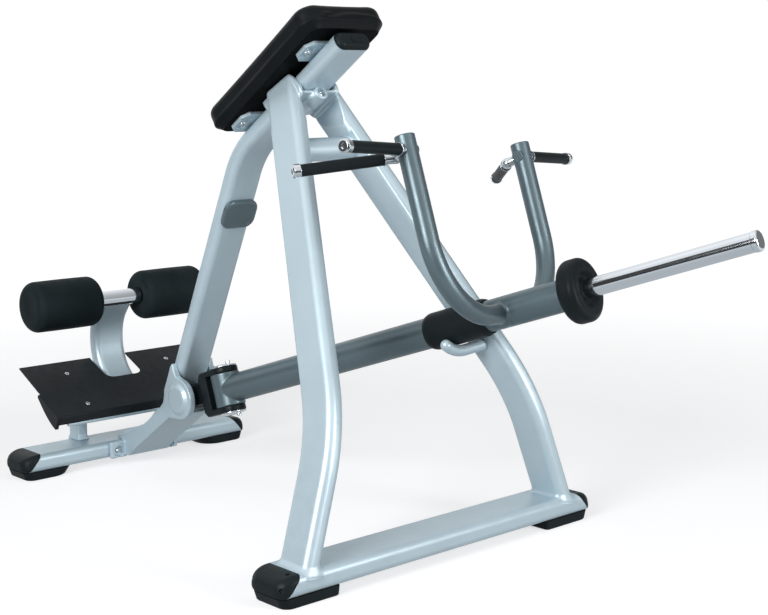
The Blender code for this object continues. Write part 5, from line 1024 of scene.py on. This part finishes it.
def make_handle(hand, kind, origin, direction, side):
    """Steel handle with a ring, a cap with a hexagon socket and a rubber grip."""
    name = f"{hand}_{kind}"
    matrix = ARM @ level_frame(origin, direction)
    if kind == "rear":
        ring, end, ball = REAR_HANDLE_RING, REAR_HANDLE_END, REAR_HANDLE_ELBOW
        start = [(-ball * out, ball * up) for up, out in quarter(8)]
        start += [(ball * 0.6, ball * 0.9), (ring, HANDLE_NECK_RADIUS)]
    else:
        ring, end = SIDE_HANDLE_RING, SIDE_HANDLE_END
        start = [(YOKE_RADIUS * 0.7, 0), (YOKE_RADIUS * 0.7, HANDLE_NECK_RADIUS), (ring, HANDLE_NECK_RADIUS)]
    ring_end = ring + HANDLE_RING_WIDTH
    cap = end - HANDLE_CAP_LENGTH
    outer = soften([(ring, HANDLE_NECK_RADIUS), (ring, HANDLE_RING_RADIUS), (ring_end, HANDLE_RING_RADIUS),
                    (ring_end, HANDLE_ROD_RADIUS), (cap, HANDLE_ROD_RADIUS), (cap, HANDLE_CAP_RADIUS),
                    (end - 0.0035, HANDLE_CAP_RADIUS), (end, HANDLE_CAP_RADIUS - 0.0045),
                    (end, HEX_RADIUS * 1.1)], 0.0009)
    socket = [(end, HEX_RADIUS, 6), (end - HEX_DEPTH, HEX_RADIUS * 0.98, 6), (end - HEX_DEPTH - 0.001, 0)]
    handle = turned(start[:-1] + outer + socket, "X", FACING_STEPS)
    if kind == "rear":
        toward = Vector((YOKE_STATION, side * YOKE_HALF, HANDLE_HEIGHT)) - origin
        neck = spun([(0.002, HANDLE_NECK_RADIUS), (toward.length, HANDLE_NECK_RADIUS)], "X", FACING_STEPS)
        local = level_frame(origin, direction).inverted() @ level_frame(origin, toward.normalized())
        handle = merge(handle, placed(neck, local))
    add(f"{name}_rod", handle, "steel", f"{name}_handle", "lever_arm", matrix, sharp=40)
    grip = soften([(ring_end + GAP, HANDLE_ROD_RADIUS + GAP), (ring_end + GAP, GRIP_RADIUS),
                   (cap - GAP, GRIP_RADIUS), (cap - GAP, HANDLE_ROD_RADIUS + GAP)], 0.0015)
    rubber = turned(grip, "X", FACING_STEPS, closed=True)
    add(f"{name}_rubber", rubber, "rubber", f"{name}_grip", "lever_arm", matrix)


def make_handles():
    """Two handles on each prong: one straight out, one back and out."""
    for hand, side in HANDS:
        prong = Vector((YOKE_STATION, side * YOKE_HALF, HANDLE_HEIGHT))
        make_handle(hand, "side", prong, ACROSS * side, side)
        elbow = prong + Vector((-REAR_HANDLE_BACK, -side * REAR_HANDLE_IN, -REAR_HANDLE_DROP))
        level = Vector((-cos(REAR_HANDLE_ANGLE), side * sin(REAR_HANDLE_ANGLE), 0))
        direction = level * cos(REAR_HANDLE_TILT) + UP * sin(REAR_HANDLE_TILT)
        make_handle(hand, "rear", elbow, direction, side)


# Castings
def lug_pockets():
    """Cutters for the arched pocket and the slot of each lug."""
    cutters = []
    floor = BAR_FRONT + LUG_THICKNESS - LUG_POCKET_DEPTH
    sill = LUG_BOLT_Z - 0.015
    for _, side in HANDS:
        arch = arc((LUG_BOLT_Y, LUG_BOLT_Z), POCKET_HALF, 0, pi, 16)
        arch += [(LUG_BOLT_Y + across, z) for across, z in (
            (-POCKET_HALF, sill), (-POCKET_SLOT, sill), (-POCKET_SLOT, 0),
            (POCKET_SLOT, 0), (POCKET_SLOT, sill), (POCKET_HALF, sill))]
        cutter = loft([[(x, side * y, z) for y, z in arch] for x in (floor, floor + 0.02)])
        cutters.append(placed(cutter, ROOT))
    return cutters


def make_castings():
    """Cast and welded pieces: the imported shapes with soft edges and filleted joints."""
    for name, node, finish, body, voxel, rounds in (
            ("cast_foot", "pivot_casting", "silver_paint", "frame", 0.0018, 6),
            ("foot_rails", "foot_frame", "silver_paint", "frame", 0.0022, 4),
            ("hook", "rest_hook", "silver_paint", "frame", 0.0012, 20),
            ("fork", "clevis", "black_paint", "pivot_fork", 0.0013, 5)):
        skin = fused(cad_copy(node), voxel, rounds)
        sharp = 0
        if name == "cast_foot":
            skin, sharp = carved(skin, *lug_pockets()), 50
        add(name, skin, finish, node, body, WORLD, sharp=sharp)


# Studio
def ray_kinds(tree, *kinds):
    """1 for rays of any of these kinds."""
    path = tree.nodes.new("ShaderNodeLightPath")
    seen = path.outputs[kinds[0]]
    for kind in kinds[1:]:
        seen = wire(tree, "ShaderNodeMath", (0, seen), (1, path.outputs[kind]), operation="MAXIMUM")
    return seen


def along(tree, place, direction):
    """How far a place or direction lies along another direction."""
    return wire(tree, "ShaderNodeVectorMath", (0, place), (1, direction), operation="DOT_PRODUCT",
                output="Value")


def times(tree, first, second):
    """Product of two values."""
    return wire(tree, "ShaderNodeMath", (0, first), (1, second), operation="MULTIPLY")


def make_floor():
    """Pale floor that keeps the shadow and runs out to white; metal reflects it without the shadow."""
    bm = bmesh.new()
    bmesh.ops.create_circle(bm, cap_ends=True, segments=FINE_STEPS, radius=FLOOR_RADIUS)
    floor = new_object(bm, "floor")
    floor.location.z = -FLOOR_DROP
    made = bpy.data.materials.new("floor")
    made.use_nodes = True
    tree = made.node_tree
    tree.nodes.clear()
    seen = ray_kinds(tree, "Is Camera Ray", "Is Transmission Ray")
    place = wire(tree, "ShaderNodeTexCoord", output="Object")
    away = wire(tree, "ShaderNodeVectorMath", (0, place), operation="LENGTH", output="Value")
    strength = times(tree, seen, remap(tree, away, *GLOW_ENDS, FLOOR_GLOW, FLOOR_GLOW_FAR))
    glow = wire(tree, "ShaderNodeEmission", ("Color", (1, 1, 1, 1)), ("Strength", strength))
    paint = wire(tree, "ShaderNodeBsdfDiffuse", ("Color", FLOOR_PAINT))
    pale = wire(tree, "ShaderNodeAddShader", (0, paint), (1, glow))
    level = remap(tree, away, *METAL_ENDS, FLOOR_IN_METAL, FLOOR_IN_METAL_FAR)
    dark = remap(tree, along(tree, place, DARK_SIDE), *DARK_ENDS, 1.0, DARK_LEVEL)
    reflected = wire(tree, "ShaderNodeEmission", ("Color", FLOOR_TINT),
                     ("Strength", times(tree, level, dark)))
    glossy = ray_kinds(tree, "Is Glossy Ray")
    total = wire(tree, "ShaderNodeMixShader", (0, glossy), (1, pale), (2, reflected))
    surface = tree.nodes.new("ShaderNodeOutputMaterial")
    tree.links.new(total, surface.inputs["Surface"])
    floor.data.materials.append(made)


def make_world(scene):
    """White backdrop, darker in metal on two sides, with a low light for the rest."""
    world = bpy.data.worlds.new("studio")
    scene.world = world
    world.use_nodes = True
    tree = world.node_tree
    tree.nodes.clear()
    direction = wire(tree, "ShaderNodeTexCoord", output="Generated")
    near = remap(tree, along(tree, direction, LOW_SIDE), *LOW_ENDS, 1.0, DARK_LEVEL)
    far = remap(tree, along(tree, direction, FAR_SIDE), *FAR_ENDS, 1.0, FAR_LEVEL)
    level = wire(tree, "ShaderNodeMath", (0, times(tree, near, far)), (1, ray_kinds(tree, "Is Camera Ray")),
                 operation="MAXIMUM")
    light = wire(tree, "ShaderNodeBackground", ("Color", WORLD_TINT), ("Strength", WORLD_LIGHT))
    backdrop = wire(tree, "ShaderNodeBackground", ("Color", (1, 1, 1, 1)), ("Strength", level))
    seen = ray_kinds(tree, "Is Camera Ray", "Is Glossy Ray", "Is Transmission Ray")
    total = wire(tree, "ShaderNodeMixShader", (0, seen), (1, light), (2, backdrop))
    output = tree.nodes.new("ShaderNodeOutputWorld")
    tree.links.new(total, output.inputs["Surface"])


def make_lamps(scene):
    """Soft rectangular lamps."""
    for name, place, target, size, power in LAMPS:
        data = bpy.data.lights.new(name, "AREA")
        data.shape = "RECTANGLE"
        data.size, data.size_y = size
        data.energy = power
        lamp = bpy.data.objects.new(name, data)
        scene.collection.objects.link(lamp)
        lamp.location = place
        lamp.rotation_mode = "QUATERNION"
        lamp.rotation_quaternion = (Vector(target) - Vector(place)).to_track_quat("-Z", "Y")


def make_camera(scene):
    """The photograph's camera."""
    data = bpy.data.cameras.new("camera")
    data.lens, data.sensor_width, data.sensor_fit = CAMERA_LENS, SENSOR_WIDTH, "HORIZONTAL"
    camera = bpy.data.objects.new("camera", data)
    scene.collection.objects.link(camera)
    back = Vector((sin(CAMERA_AZIMUTH) * cos(CAMERA_ELEVATION), -cos(CAMERA_AZIMUTH) * cos(CAMERA_ELEVATION),
                   sin(CAMERA_ELEVATION)))
    turn = (-back).to_track_quat("-Z", "Y").to_matrix().to_4x4()
    camera.matrix_world = Matrix.Translation(CAMERA_PLACE) @ turn @ Matrix.Rotation(CAMERA_ROLL, 4, "Z")
    scene.camera = camera


def make_studio():
    """Floor, world, lamps and camera."""
    scene = bpy.context.scene
    scene.view_settings.view_transform = "Standard"
    make_floor()
    make_world(scene)
    make_lamps(scene)
    make_camera(scene)


make_studio()
make_bar("front", FRONT_BAR_X, FRONT_BAR_HALF, FRONT_FOOT_LENGTH, FRONT_FOOT_ROUND)
make_bar("rear", REAR_BAR_X, REAR_BAR_HALF, REAR_FOOT_LENGTH, REAR_FOOT_ROUND)
for hand, side in HANDS:
    make_leg(hand, side)
make_spine()
make_saddle()
make_brace()
make_badge()
make_bolts()
make_chest_pad()
make_pad_plates()
make_rollers()
make_post()
make_foot_plate()
make_castings()
make_pins()
make_arm()
for hand, side in HANDS:
    make_prong(hand, side)
make_handles()

# The pad's board takes the board black with its painted shade; the pitch axle takes turned steel
for name, finish in (("pad_board", "board"), ("pitch_axle", "steel")):
    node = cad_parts[name]
    node.data.materials.clear()
    node.data.materials.append(FINISHES[finish])

bpy.context.view_layer.update()
